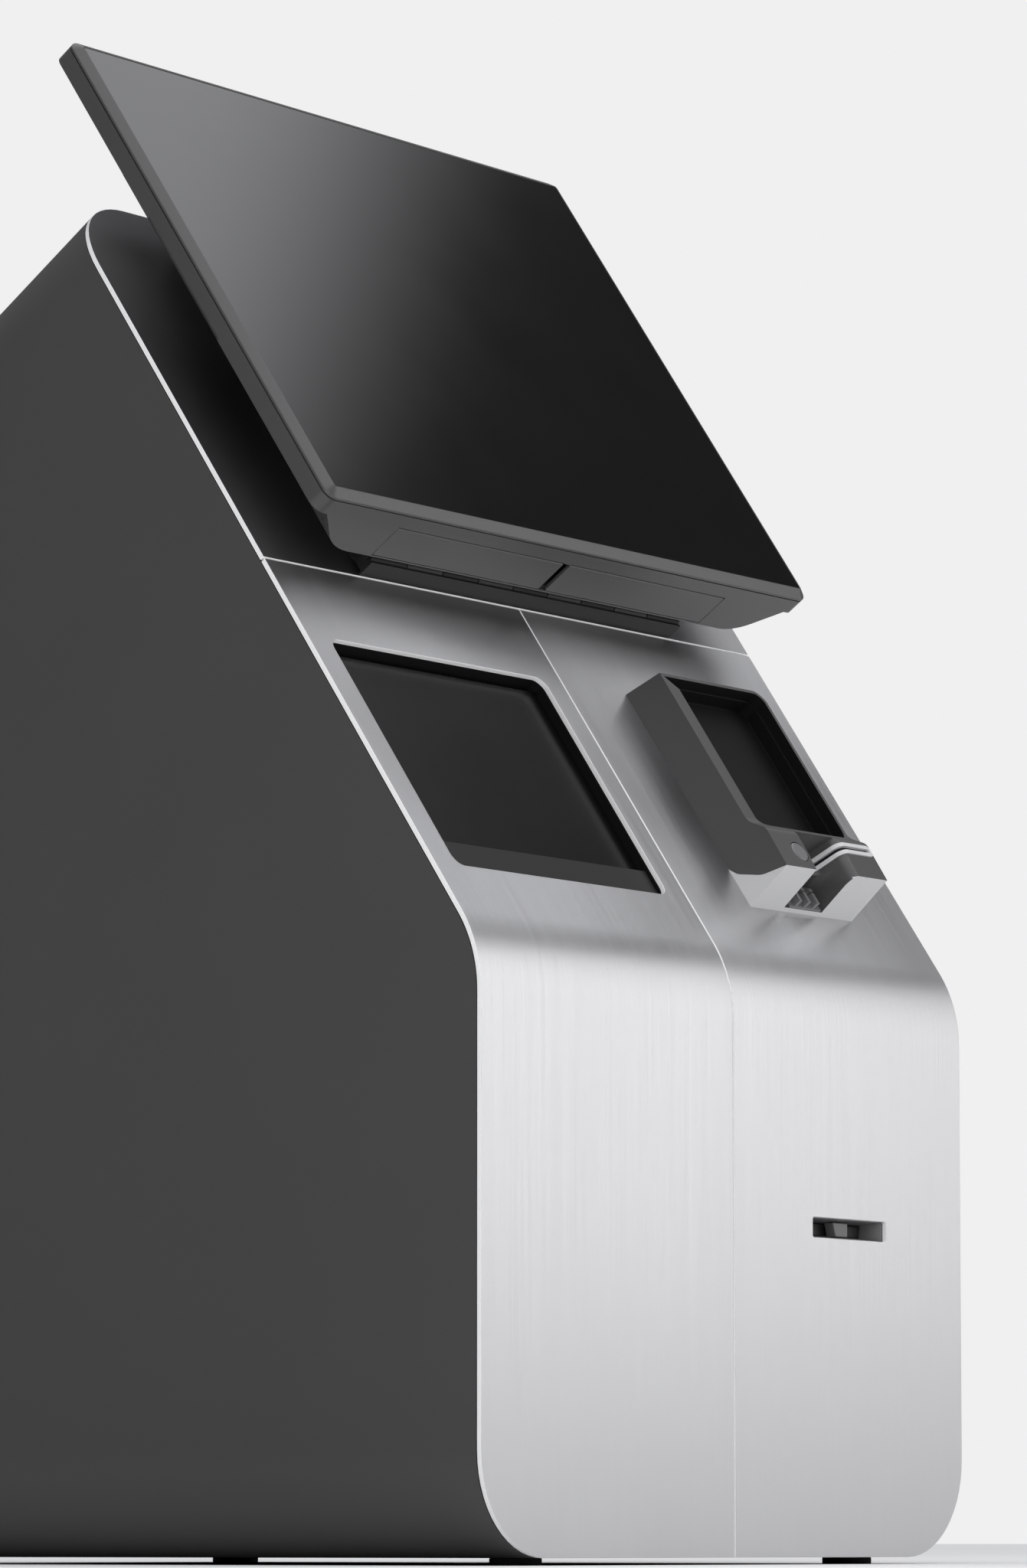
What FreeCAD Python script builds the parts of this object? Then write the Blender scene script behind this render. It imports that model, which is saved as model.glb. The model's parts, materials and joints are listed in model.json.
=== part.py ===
import FreeCAD, Part
import math
import os
import re

import Sketcher

# Touchscreen kiosk: a steel cabinet with a bent brushed front, a display on a tilt hinge,
# two service drawers and a rear door.  Millimetres, +Z up, front towards -Y.
# Two working frames are used.  Upright: x across, y back, z up, zero at the front left
# bottom corner of the cabinet.  Sloped: x across, y up the sloped front, z out of it.

LEAN = 34.2      # degrees that the sloped front leans back from vertical

SIZES = {
    # cabinet
    "width": 420, "depth": 491.6, "centre_depth": 245.8, "foot_rise": 3.6,
    "run": round(math.sin(math.radians(LEAN)), 6),
    "rise": round(math.cos(math.radians(LEAN)), 6),
    "half_tan": round(math.tan(math.radians(LEAN / 2)), 6),
    "corner_height": 296.5, "slope_length": 493.5, "bend_radius": 72,
    "wall": 2.5, "edge_radius": 52, "top_radius": 50,
    "plate": 2.7, "plate_gap": 0.6, "seam_up": 246, "seam_gap": 1, "centre_gap": 1.2,
    # base and feet
    "foot_radius": 13, "foot_inset": 66, "foot_front": 30, "foot_back": 454,
    "bolt_hole": 4.25, "bolt_side": 90, "bolt_front": 60, "bolt_back": 420,
    # window in the left plate
    "window_left": 17.3, "window_right": 193.8, "window_low": 51.5, "window_high": 196,
    "window_round": 7, "ledge_high": 70.7, "bin_deep": 112,
    # slot in the right plate
    "slot_left": 280.7, "slot_right": 348.8, "slot_low": 165.8, "slot_high": 176.5,
    # payment cradle
    "cradle_left": 266.6, "cradle_right": 360, "cradle_low": 51.5, "cradle_high": 195.6,
    "cradle_proud": 24, "nose_proud": 31.4, "nose_back": 80, "nose_tip": 55.5,
    "recess_left": 276.7, "recess_right": 357.6, "recess_low": 88, "recess_high": 189.2,
    "recess_mitre": 8, "diagonal": 1.4142, "corner_round": 9, "liner_floor": 10,
    "liner_rim": 18, "notch_left": 294, "notch_right": 328.5, "notch_high": 68.5,
    "card_left": 301, "card_right": 357, "card_low": 73, "card_high": 75.4,
    "scoop_out": 13, "scoop_right": 325, "scoop_top": 331, "scoop_high": 82, "trim_proud": 0.6,
    "button_side": 287, "button_up": 66.5, "button_radius": 6,
    # display
    "screen_left": 1.3, "screen_low": 245, "screen_high": 558, "screen_front": 52,
    "parting": 46.8, "housing_back": 37.5, "hump_back": 16, "border": 5.5,
    "screen_round": 7, "hump_left": 42, "hump_high": 520,
    "cover_left": 68, "cover_middle": 207, "cover_low": 17.3, "cover_high": 37.8,
    "mount_left": 76, "mount_low": 257, "mount_high": 470, "mount_proud": 12,
    "barrel_up": 251.6, "barrel_out": 9, "barrel_radius": 3.4, "pin_radius": 1.6,
    # drawers and rails
    "bay_side": 209, "tray_side": 14.5, "tray_floor": 58, "tray_top": 110,
    "tray_front": 14.2, "tray_back": 415, "sheet": 2, "rail_low": 60,
    "shelf_height": 495, "shelf_front": 168, "shelf_back": 455,
    # rear door
    "door_left": 61, "door_right": 357.5, "door_low": 91, "door_high": 461,
    "back_inner": 487.6, "back_outer": 489.6, "pivot_side": 356, "pivot_back": 484.5,
    "lock_side": 80, "lock_height": 276, "fan_side": 210, "fan_height": 511,
}

doc = FreeCAD.newDocument("touchscreen_kiosk")
sheet = doc.addObject("Spreadsheet::Sheet", "Sizes")
for row, (alias, number) in enumerate(SIZES.items(), start=1):
    sheet.set("A%d" % row, alias)
    sheet.set("B%d" % row, str(number))
    sheet.setAlias("B%d" % row, alias)
doc.recompute()

probe = doc.addObject("Part::Vertex", "probe")
nodes = {}


# ---------------------------------------------------------------- helpers

def bound(text):
    """An expression on the sheet's cells, from plain names such as 'width / 2'."""
    return re.sub(r"[a-z][a-z_]+", r"Sizes.\g<0>", text)


def size(text):
    """The number that such an expression gives now."""
    probe.setExpression("X", bound(text))
    probe.recompute()
    return float(probe.X)


def box(name, x, y, z):
    """A box between the limits given as (low, high) pairs of expressions."""
    item = doc.addObject("Part::Box", name)
    for axis, side, (low, high) in zip("xyz", ("Length", "Width", "Height"), (x, y, z)):
        item.setExpression(side, bound("(%s) - (%s)" % (high, low)))
        item.setExpression(".Placement.Base." + axis, bound(low))
    item.recompute()
    return item


def rod(name, axis, start, radius, length):
    """A cylinder along x, y or z from the point start."""
    item = doc.addObject("Part::Cylinder", name)
    direction = {"x": (1, 0, 0), "y": (0, 1, 0), "z": (0, 0, 1)}[axis]
    item.Placement.Rotation = FreeCAD.Rotation(FreeCAD.Vector(0, 0, 1), FreeCAD.Vector(*direction))
    for letter, text in zip("xyz", start):
        item.setExpression(".Placement.Base." + letter, bound(text))
    item.setExpression("Radius", bound(radius))
    item.setExpression("Height", bound(length))
    item.recompute()
    return item


def along(axis):
    """A test for straight edges that run along x, y or z."""
    unit = {"x": FreeCAD.Vector(1, 0, 0), "y": FreeCAD.Vector(0, 1, 0),
            "z": FreeCAD.Vector(0, 0, 1)}[axis]

    def test(edge):
        if len(edge.Vertexes) != 2 or edge.Curve.TypeId != "Part::GeomLine":
            return False
        span = edge.Vertexes[1].Point - edge.Vertexes[0].Point
        return abs(abs(span.normalize().dot(unit)) - 1) < 1e-6
    return test


def rounded(item, axis, radius, keep=None):
    """The same solid with its edges along an axis rounded."""
    test = along(axis)
    edges = [number for number, edge in enumerate(item.Shape.Edges, start=1)
             if test(edge) and (keep is None or keep(edge.CenterOfMass))]
    result = doc.addObject("Part::Fillet", item.Name + "_rounded")
    result.Base = item
    result.Edges = [(number, size(radius), size(radius)) for number in edges]
    result.recompute()
    return result


def cut(name, base, *tools):
    tool = tools[0] if len(tools) == 1 else fuse(name + "_tools", *tools)
    item = doc.addObject("Part::Cut", name)
    item.Base, item.Tool = base, tool
    item.recompute()
    return item


def fuse(name, *pieces):
    item = doc.addObject("Part::MultiFuse", name)
    item.Shapes = list(pieces)
    item.recompute()
    return item


def group(name, *pieces):
    item = doc.addObject("Part::Compound", name)
    item.Links = list(pieces)
    item.recompute()
    return item


def outline(name, role, corners, start, length, fillets=()):
    """A body padded from a sketch of straight sides, each corner bound to the sheet.

    fillets are (corner number, radius) pairs, rounded on the padded solid."""
    body = doc.addObject("PartDesign::Body", name)
    sketch = body.newObject("Sketcher::SketchObject", name + "_sketch")
    plane = next(part for part in body.Origin.OriginFeatures if part.Role == role)
    sketch.AttachmentSupport = [(plane, "")]
    sketch.MapMode = "FlatFace"
    sketch.setExpression(".AttachmentOffset.Base.z", bound(start))
    points = [(size(a), size(b)) for a, b in corners]
    count = len(points)
    for this in range(count):
        head, tail = points[this], points[(this + 1) % count]
        sketch.addGeometry(Part.LineSegment(FreeCAD.Vector(*head, 0), FreeCAD.Vector(*tail, 0)))
    for this in range(count):
        sketch.addConstraint(Sketcher.Constraint("Coincident", this, 2, (this + 1) % count, 1))
    for this in range(count):
        for kind, number, text in zip(("DistanceX", "DistanceY"), points[this], corners[this]):
            index = sketch.addConstraint(Sketcher.Constraint(kind, -1, 1, this, 1, number))
            sketch.setExpression("Constraints[%d]" % index, bound(text))
    sketch.recompute()
    pad = body.newObject("PartDesign::Pad", name + "_pad")
    pad.Profile = sketch
    pad.setExpression("Length", bound(length))
    pad.recompute()
    body.recompute()
    last = pad
    for number, radius in fillets:
        last = soften(body, last, corner_edge(last, role, points[number]), radius)
    return body


def corner_edge(feature, role, point):
    """The names of the padded edges that start from one corner of the outline."""
    first, second = {"YZ_Plane": ("y", "z"), "XZ_Plane": ("x", "z"), "XY_Plane": ("x", "y")}[role]
    names = []
    for number, edge in enumerate(feature.Shape.Edges, start=1):
        spots = [(getattr(v.Point, first), getattr(v.Point, second)) for v in edge.Vertexes]
        if len(spots) == 2 and all(math.dist(spot, point) < 1e-3 for spot in spots):
            names.append("Edge%d" % number)
    return names


def soften(body, feature, names, radius):
    """Round named edges of a body's last feature."""
    round_off = body.newObject("PartDesign::Fillet", body.Name + "_round")
    round_off.Base = (feature, names)
    round_off.setExpression("Radius", bound(radius))
    round_off.recompute()
    body.recompute()
    return round_off


def edges_where(shape, test):
    return ["Edge%d" % number for number, edge in enumerate(shape.Edges, start=1) if test(edge)]


def on_slope(up, out):
    """The upright y and z of a point that is so far up the slope and out of it."""
    return ("(%s) * run - (%s) * rise" % (up, out),
            "corner_height + (%s) * rise + (%s) * run" % (up, out))


def slope_placement():
    base = FreeCAD.Vector(0, 0, size("corner_height"))
    return FreeCAD.Placement(base, FreeCAD.Rotation(FreeCAD.Vector(1, 0, 0), 90 - LEAN))


def tilted(item):
    """Turn a sloped-frame tool into the upright frame."""
    if item.TypeId in ("Part::Box", "Part::Cylinder"):
        item = group(item.Name + "_tilted", item)
    item.Placement = slope_placement()
    item.recompute()
    return item


def node(label, frame, item):
    """Name a finished sub-part and note the frame that places it."""
    if item.TypeId in ("Part::Box", "Part::Cylinder"):
        item = group(item.Name + "_piece", item)
    item.Label = label
    nodes[label] = (item, frame)
    return item


def side(which, low, high):
    """Limits across the cabinet, measured from the left side or from the right one."""
    return (low, high) if which == "left" else ("width - (%s)" % high, "width - (%s)" % low)


# ---------------------------------------------------------------- cabinet

def cabinet_outline(front, top, low, back):
    """The cabinet's side profile, drawn in by the given amounts."""
    up = "slope_length - (%s)" % top
    rear = "depth - (%s)" % back
    out = "((%s) * run - (%s)) / rise" % (up, rear)
    return [(front, low), (front, "corner_height - (%s) * half_tan" % front),
            on_slope(up, "0 - (%s)" % front), on_slope(up, out), (rear, low)]


def long_edges(shape, x_limits, low):
    """Bottom and top edges that run front to back along both sides."""
    def is_side(edge):
        xs = [v.Point.x for v in edge.Vertexes]
        return len(xs) == 2 and any(all(abs(x - limit) < 1e-3 for x in xs) for limit in x_limits)
    bottom, top = [], []
    for number, edge in enumerate(shape.Edges, start=1):
        if not is_side(edge):
            continue
        ends = [v.Point for v in edge.Vertexes]
        if all(abs(end.z - low) < 1e-3 for end in ends):
            bottom.append("Edge%d" % number)
        elif abs(ends[0].z - ends[1].z) > 1 and min(end.y for end in ends) > size("centre_depth"):
            if abs(ends[0].y - ends[1].y) > 1:
                top.append("Edge%d" % number)
    return bottom, top


def cabinet_block(name, front, top, low, back, inset, bend, round_less):
    block = outline(name, "YZ_Plane", cabinet_outline(front, top, low, back), inset,
                    "width - 2 * (%s)" % inset, fillets=[(1, bend)])
    limits = (size(inset), size("width - (%s)" % inset))
    bottom, roof = long_edges(block.Tip.Shape, limits, size(low))
    first = soften(block, block.Tip, bottom, "edge_radius - (%s)" % round_less)
    bottom, roof = long_edges(first.Shape, limits, size(low))
    soften(block, first, roof, "top_radius - (%s)" % round_less)
    return block


rim = "plate + plate_gap"
shell_block = cabinet_block("shell_block", rim, "0", "0", "0", "0", "bend_radius - (%s)" % rim, "0")
shell_core = cabinet_block("shell_core", "0 - 20", "wall", "wall", "0 - 20", "wall",
                           "bend_radius + 20", "wall")
bolt_spots = [(x, y) for x in ("bolt_side", "width - bolt_side") for y in ("bolt_front", "bolt_back")]
foot_spots = [(x, y) for x in ("foot_inset", "width - foot_inset")
              for y in ("foot_front", "foot_back")]


def floor_holes(name):
    """Counter bolts and foot studs pass through these."""
    holes = [rod("%s_bolt" % name, "z", (x, y, "-10"), "bolt_hole", "30") for x, y in bolt_spots]
    holes += [rod("%s_stud" % name, "z", (x, y, "-10"), "3.2", "30") for x, y in foot_spots]
    return holes


node("cabinet_shell", "upright", cut("shell", shell_block, shell_core, *floor_holes("shell")))
floor_sheet = box("floor_sheet", ("edge_radius + 4", "width - edge_radius - 4"), ("22", "470"),
                  ("wall", "wall + 3"))
node("base_plate", "upright", cut("base", floor_sheet, *floor_holes("base")))


def foot(number, x, y):
    pad = rod("foot_pad_%d" % number, "z", (x, y, "0 - foot_rise"), "foot_radius", "foot_rise")
    stud = rod("foot_stud_%d" % number, "z", (x, y, "0 - 1"), "3", "10")
    return fuse("foot_%d" % number, pad, stud)


node("feet", "upright", group("feet_group", *[foot(number, x, y)
                                              for number, (x, y) in enumerate(foot_spots)]))

wall_corners = [("tray_front + 2", "8"), ("tray_front + 2", "corner_height - (tray_front + 2) * half_tan"),
                on_slope("seam_up - 16", "0 - tray_front - 2"),
                ("shelf_front", "shelf_height"), ("shelf_back", "shelf_height"),
                ("shelf_back", "8")]
node("centre_wall", "upright", outline("centre_wall_body", "YZ_Plane", wall_corners, "bay_side",
                                       "sheet", fillets=[(1, "40")]))
node("equipment_shelf", "upright", rounded(box("shelf", ("wall + 0.3", "width - wall - 0.3"),
                                               ("shelf_front", "shelf_back"),
                                               ("shelf_height", "shelf_height + sheet")),
                                           "z", "6"))

# ---------------------------------------------------------------- brushed front plates


def bent_plate(name, x_low, x_high, outer_x):
    """Vertical front, bend and slope up to the seam, with one rounded bottom corner."""
    corners = [("0", "0"), ("0", "corner_height"), on_slope("seam_up - seam_gap / 2", "0"),
               on_slope("seam_up - seam_gap / 2", "0 - plate"),
               ("plate", "corner_height - plate * half_tan"), ("plate", "0")]
    plate = outline(name, "YZ_Plane", corners, x_low, "(%s) - (%s)" % (x_high, x_low),
                    fillets=[(1, "bend_radius"), (4, "bend_radius - plate")])

    def is_corner(edge):
        ends = [v.Point for v in edge.Vertexes]
        return all(abs(end.x - outer_x) < 1e-3 and abs(end.z) < 1e-3 for end in ends)
    soften(plate, plate.Tip, edges_where(plate.Tip.Shape, is_corner), "edge_radius")
    return plate


middle = "width / 2"
left_blank = bent_plate("left_blank", "0", middle + " - centre_gap / 2", 0.0)
right_blank = bent_plate("right_blank", middle + " + centre_gap / 2", "width", size("width"))

window_hole = tilted(rounded(box("window_hole", ("window_left", "window_right"),
                                 ("window_low", "window_high"), ("-20", "20")), "z", "window_round"))
node("left_front_plate", "upright", cut("left_plate", left_blank, window_hole))

slot_hole = rounded(box("slot_hole", ("slot_left", "slot_right"), ("-10", "10"),
                        ("slot_low", "slot_high")), "y", "1.4")
reader_hole = tilted(box("reader_hole", ("card_left", "card_right"), ("72", "88"), ("-10", "1")))
node("right_front_plate", "upright", cut("right_plate", right_blank, slot_hole, reader_hole))

upper_blank = box("upper_blank", ("0", "width"), ("seam_up + seam_gap / 2", "slope_length"),
                  ("0 - plate", "0"))
node("upper_plate", "sloped", rounded(upper_blank, "z", "top_radius",
                                      keep=lambda spot: spot.y > size("slope_length") - 1))

# ---------------------------------------------------------------- drawers


def rib(name, x_low):
    """A stiffener that follows the inside of a bent plate."""
    deep = "tray_front - 0.2"
    corners = [("plate", "60"), ("plate", "corner_height - plate * half_tan"),
               on_slope("seam_up - 10", "0 - plate"), on_slope("seam_up - 10", "0 - (%s)" % deep),
               (deep, "corner_height - (%s) * half_tan" % deep), (deep, "60")]
    return outline(name, "YZ_Plane", corners, x_low, "sheet",
                   fillets=[(1, "bend_radius - plate"), (4, "bend_radius - (%s)" % deep)])


def drawer(which):
    """Ribs, tray and the three rail members on both sides of one bay."""
    outer_rib = side(which, "tray_side", "tray_side + sheet")
    inner_rib = side(which, "197 - sheet", "197")
    cross = side(which, "tray_side", "197")
    foot_bar = box(which + "_foot_bar", cross, ("plate", "tray_front - 0.2"), ("60", "62"))
    node(which + "_front_ribs", "upright",
         fuse(which + "_ribs", rib(which + "_rib_outer", outer_rib[0]),
              rib(which + "_rib_inner", inner_rib[0]), foot_bar))

    tray_block = box(which + "_tray_block", cross, ("tray_front", "tray_back"),
                     ("tray_floor", "tray_top"))
    tray_room = box(which + "_tray_room", side(which, "tray_side + sheet", "197 - sheet"),
                    ("tray_front + sheet", "tray_back - sheet"), ("tray_floor + sheet", "200"))
    node(which + "_tray", "upright", cut(which + "_tray_cut", tray_block, tray_room))

    outers, middles, inners = [], [], []
    for end, (low, turn) in enumerate((("wall", 1), ("bay_side", -1))):
        def reach(near, far):
            pair = ("%s + %s" % (low, near), "%s + %s" % (low, far)) if turn == 1 else \
                   ("%s - %s" % (low, far), "%s - %s" % (low, near))
            return side(which, *pair)
        tag = "%s_%d" % (which, end)
        deep = ("tray_front + 3", "tray_back")
        outer_block = box("rail_outer_" + tag, reach("0.1", "10"), deep,
                          ("rail_low", "rail_low + 42"))
        outer_room = box("rail_outer_room_" + tag, reach("1.6", "11"), ("0", "depth"),
                         ("rail_low + 1.5", "rail_low + 40.5"))
        outers.append(cut("rail_outer_cut_" + tag, outer_block, outer_room))
        middle_block = box("rail_middle_" + tag, reach("2.1", "10"), deep,
                           ("rail_low + 2", "rail_low + 40"))
        middle_room = box("rail_middle_room_" + tag, reach("3.6", "11"), ("0", "depth"),
                          ("rail_low + 3.5", "rail_low + 38.5"))
        middles.append(cut("rail_middle_cut_" + tag, middle_block, middle_room))
        inners.append(box("rail_inner_" + tag, reach("4.2", "12"), deep,
                          ("rail_low + 4.1", "rail_low + 37.9")))
    node(which + "_rail_outers", "upright", group(which + "_outers", *outers))
    node(which + "_rail_middles", "upright", group(which + "_middles", *middles))
    node(which + "_rail_inners", "upright", group(which + "_inners", *inners))


drawer("left")
drawer("right")

# ---------------------------------------------------------------- document bin in the left drawer

bin_block = box("bin_block", ("window_left - 0.7", "window_right + 0.7"),
                ("window_low - 1.5", "window_high + 1.5"), ("0 - bin_deep", "0 - plate - 0.1"))
bin_room = rounded(box("bin_room", ("window_left + 0.5", "window_right - 0.5"),
                       ("window_low", "window_high"), ("1.5 - bin_deep", "10")), "z", "5")
pivot_bore = rod("flap_bore", "x", ("window_left - 0.3", "window_high - 4", "-9"), "1.6",
                 "window_right - window_left + 0.6")
node("bin_liner", "sloped", cut("liner_cut", bin_block, bin_room, pivot_bore))
ledge_bar = rounded(box("ledge", ("window_left + 0.6", "window_right - 0.6"),
                        ("window_low + 0.1", "ledge_high"), ("-9", "-4.5")),
                    "z", "5", keep=lambda spot: spot.y < size("window_low") + 1)
node("bin_ledge", "sloped", ledge_bar)
flap_sheet = rounded(box("flap_sheet", ("window_left + 1.5", "window_right - 1.5"),
                         ("ledge_high + 0.6", "window_high - 4"), ("-10.4", "-7.6")), "z", "2")
flap_rod = rod("flap_rod", "x", ("window_left - 0.2", "window_high - 4", "-9"), "1.5",
               "window_right - window_left + 0.4")
node("bin_flap", "sloped", fuse("flap", flap_sheet, flap_rod))

printer_case = rounded(box("printer_case", ("40", "172"), ("210", "380"),
                           ("tray_floor + sheet", "186")), "z", "8")
printer_mouth = box("printer_mouth", ("66", "146"), ("205", "216"), ("150", "156"))
door_line = box("printer_door_line", ("50", "162"), ("209", "210.6"), ("168", "169.2"))
node("receipt_printer", "upright", cut("printer", printer_case, printer_mouth, door_line))
node("document_chute", "upright", cut("chute",
                                      box("chute_block", ("62", "150"), ("196", "210"),
                                          ("144", "162")),
                                      box("chute_room", ("65", "147"), ("190", "215"),
                                          ("149", "157"))))

# ---------------------------------------------------------------- note slot in the right drawer

bezel_block = rounded(box("bezel_block", ("slot_left - 5", "slot_right + 5"),
                          ("plate + 0.1", "22"), ("slot_low - 6", "slot_high + 7")), "y", "2")
funnel = doc.addObject("Part::Wedge", "funnel")
for name, text in (("Ymin", "0"), ("Ymax", "12"), ("Xmin", "slot_left"), ("Xmax", "slot_right"),
                   ("Zmin", "slot_low"), ("Zmax", "slot_high"), ("X2min", "slot_left + 3"),
                   ("X2max", "slot_right - 6"), ("Z2min", "slot_low + 2"),
                   ("Z2max", "slot_high - 1.8")):
    funnel.setExpression(name, bound(text))
funnel.recompute()
throat = box("throat", ("slot_left + 3", "slot_right - 6"), ("11", "30"),
             ("slot_low + 2", "slot_high - 1.8"))
shutter_line = ("slot_left + 1.6", "14", "slot_high - 2.9")
shutter_length = "slot_right - slot_left - 6.2"
shutter_bore = rod("shutter_bore", "x", shutter_line, "0.9", shutter_length)
node("slot_bezel", "upright", cut("bezel", bezel_block, funnel, throat, shutter_bore))
shutter_rod = rod("shutter_rod", "x", ("slot_left + 1.8", *shutter_line[1:]), "0.8",
                  shutter_length + " - 0.4")
shutter_leaf = box("shutter_leaf", ("slot_left + 3.5", "slot_right - 6.5"), ("13.4", "14.6"),
                   ("slot_low + 2.4", "slot_high - 2.9"))
node("slot_shutter", "upright", fuse("shutter", shutter_rod, shutter_leaf))
note_case = rounded(box("note_case", ("272", "358"), ("24", "236"), ("112", "218")), "y", "5")
note_throat = box("note_throat", ("slot_left + 2", "slot_right - 5"), ("20", "70"),
                  ("slot_low + 1.5", "slot_high - 1.5"))
node("note_unit", "upright", cut("note_cut", note_case, note_throat))
cash_case = rounded(box("cash_case", ("232", "396"), ("64", "330"),
                        ("tray_floor + sheet", "112")), "z", "8")
cash_grip = rounded(box("cash_grip", ("284", "344"), ("58", "72"), ("80", "98")), "y", "4")
node("cash_box", "upright", cut("cash", cash_case, cash_grip))

# ---------------------------------------------------------------- payment cradle

cradle_corners = [("cradle_high", "0"), ("cradle_high - 4.4", "cradle_proud"),
                  ("recess_low + 2", "cradle_proud"), ("nose_back", "nose_proud"),
                  ("nose_tip", "nose_proud - 0.6"), ("cradle_low", "0")]
nose_corners = [("78.5", "-1"), ("71", "3"), ("61", "15"), ("nose_tip - 0.6", "nose_proud + 1"),
                ("40", "nose_proud + 1"), ("40", "-1")]


def cradle_solid(name):
    return outline(name, "YZ_Plane", cradle_corners, "cradle_left", "cradle_right - cradle_left",
                   fillets=[(2, "10"), (3, "7")])


def nose_solid(name):
    return outline(name, "YZ_Plane", nose_corners, "cradle_left - 5",
                   "cradle_right - cradle_left + 10", fillets=[(1, "10"), (2, "16")])


def notch(name):
    return rounded(box(name, ("notch_left", "notch_right"), ("cradle_low - 10", "notch_high"),
                       ("3", "nose_proud + 10")), "z", "6")


def dip(name, left, lift, up_low, up_high):
    """What lies above the finger dip: a rounded step from the floor up to the nose's top."""
    floor, top = "scoop_out + (%s)" % lift, "nose_proud + (%s)" % lift
    corners = [(left, "60"), (left, floor), ("scoop_right - (%s)" % lift, floor),
               ("scoop_top - (%s)" % lift, top), ("cradle_right + 20", top),
               ("cradle_right + 20", "60")]
    return outline(name, "XZ_Plane", corners, "0 - (%s)" % up_high, "(%s) - (%s)" % (up_high, up_low),
                   fillets=[(2, "5 - (%s)" % lift), (3, "7 + (%s)" % lift)])


def scoop(name):
    return dip(name, "notch_left + 0.5", "0.02", "cradle_low - 10", "scoop_high")


def recess_solid(name, inset, low, high, radius):
    """The terminal's recess drawn in by an inset: its upper left corner runs out to the rim."""
    left, right = "recess_left + (%s)" % inset, "recess_right - (%s)" % inset
    floor, top = "recess_low + (%s)" % inset, "recess_high - (%s)" % inset
    corners = [(left, floor), (right, floor), (right, top),
               ("recess_left - recess_mitre + (1 + diagonal) * (%s)" % inset, top),
               (left, "recess_high - recess_mitre + (diagonal - 1) * (%s)" % inset)]
    return outline(name, "XY_Plane", corners, low, "(%s) - (%s)" % (high, low),
                   fillets=[(0, radius), (1, radius), (2, radius)])


recess = recess_solid("recess", "0", "0 - 5", "cradle_proud + 20", "7")
cradle_body = cradle_solid("cradle_solid")
high_corner = edges_where(cradle_body.Shape,
                          lambda edge: edge.CenterOfMass.x > size("cradle_right") - 1
                          and edge.CenterOfMass.y > size("recess_high"))
soften(cradle_body, cradle_body.Tip, high_corner, "corner_round")
reader_room = box("reader_room", ("card_left - 3", "card_right + 1"),
                  ("card_low - 3.5", "recess_low - 1"), ("-5", "scoop_out - 2.5"))
card_gap = box("card_gap", ("card_left", "card_right"), ("card_low", "card_high"),
               ("4", "nose_proud + 5"))
trim_ring = rounded(box("trim_ring", ("card_left - 1.9", "card_right + 1.9"),
                        ("card_low - 2.4", "card_high + 2.4"), ("scoop_out - 1.2", "nose_proud + 2")),
                    "z", "2.3")
trim_hole = box("trim_hole", ("card_left", "card_right"), ("card_low", "card_high"), ("0", "60"))
trim_layer = cut("trim_layer",
                 dip("trim_floor", "notch_left", "0 - 1.2", "cradle_low", "scoop_high + 5"),
                 dip("trim_surface", "notch_left - 5", "trim_proud", "cradle_low - 5",
                     "scoop_high + 10"))
trim_band = doc.addObject("Part::Common", "trim_band")
trim_band.Base, trim_band.Tool = trim_ring, trim_layer
trim_band.recompute()
button_bore = rod("button_bore", "z", ("button_side", "button_up", "nose_proud - 10"),
                  "button_radius + 0.35", "20")
node("cradle_shell", "sloped", cut("cradle", cradle_body, nose_solid("nose_cutter"),
                                   recess, reader_room, card_gap, button_bore,
                                   notch("cradle_notch"), scoop("cradle_scoop"), trim_band))
nose_common = doc.addObject("Part::Common", "nose_common")
nose_common.Base, nose_common.Tool = cradle_solid("nose_stock"), nose_solid("nose_keeper")
nose_common.recompute()
node("cradle_nose", "sloped", cut("nose", nose_common, notch("nose_notch"), reader_room,
                                  scoop("nose_scoop")))

liner_block = recess_solid("liner_block", "0.1", "0.2", "liner_rim", "6.9")
liner_room = recess_solid("liner_room", "1.5", "liner_floor", "40", "5.5")
liner_under = recess_solid("liner_under", "1.5", "0 - 1", "liner_floor - 1.5", "5.5")
node("cradle_liner", "sloped", cut("cradle_liner_cut", liner_block, liner_room, liner_under))

node("card_slot_trim", "sloped", cut("trim", trim_band, trim_hole))
reader_case = box("reader_case", ("card_left - 2.5", "card_right + 0.5"),
                  ("card_low - 3", "recess_low - 1.5"), ("0.3", "scoop_out - 3"))
reader_inside = box("reader_inside", ("card_left + 0.5", "card_right - 0.5"),
                    ("card_low - 0.5", "recess_low - 2"), ("-32", "0.5"))
reader_gap = box("reader_gap", ("card_left + 1", "card_right - 1"), ("card_low", "card_high"),
                 ("-29", "40"))
node("card_reader", "sloped", cut("reader", fuse("reader_stock", reader_case, reader_inside), reader_gap))

fins = [box("fin_base", ("notch_left + 4", "notch_right - 2"), ("cradle_low + 0.5", "notch_high - 1"),
            ("3.05", "4.5"))]
for number in range(3):
    low = "notch_left + %g" % (8 + 8 * number)
    fins.append(box("fin_%d" % number, (low, low + " + 2.4"), ("cradle_low + 1", "notch_high - 6"),
                    ("4", "9")))
guide_stock = fuse("guide_stock", *fins)
guide_slot = box("guide_slot", ("notch_left + 3", "notch_right - 1"), ("cradle_low + 8", "cradle_low + 9"),
                 ("6", "10"))
node("card_guide", "sloped", cut("guide", guide_stock, guide_slot))

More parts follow.
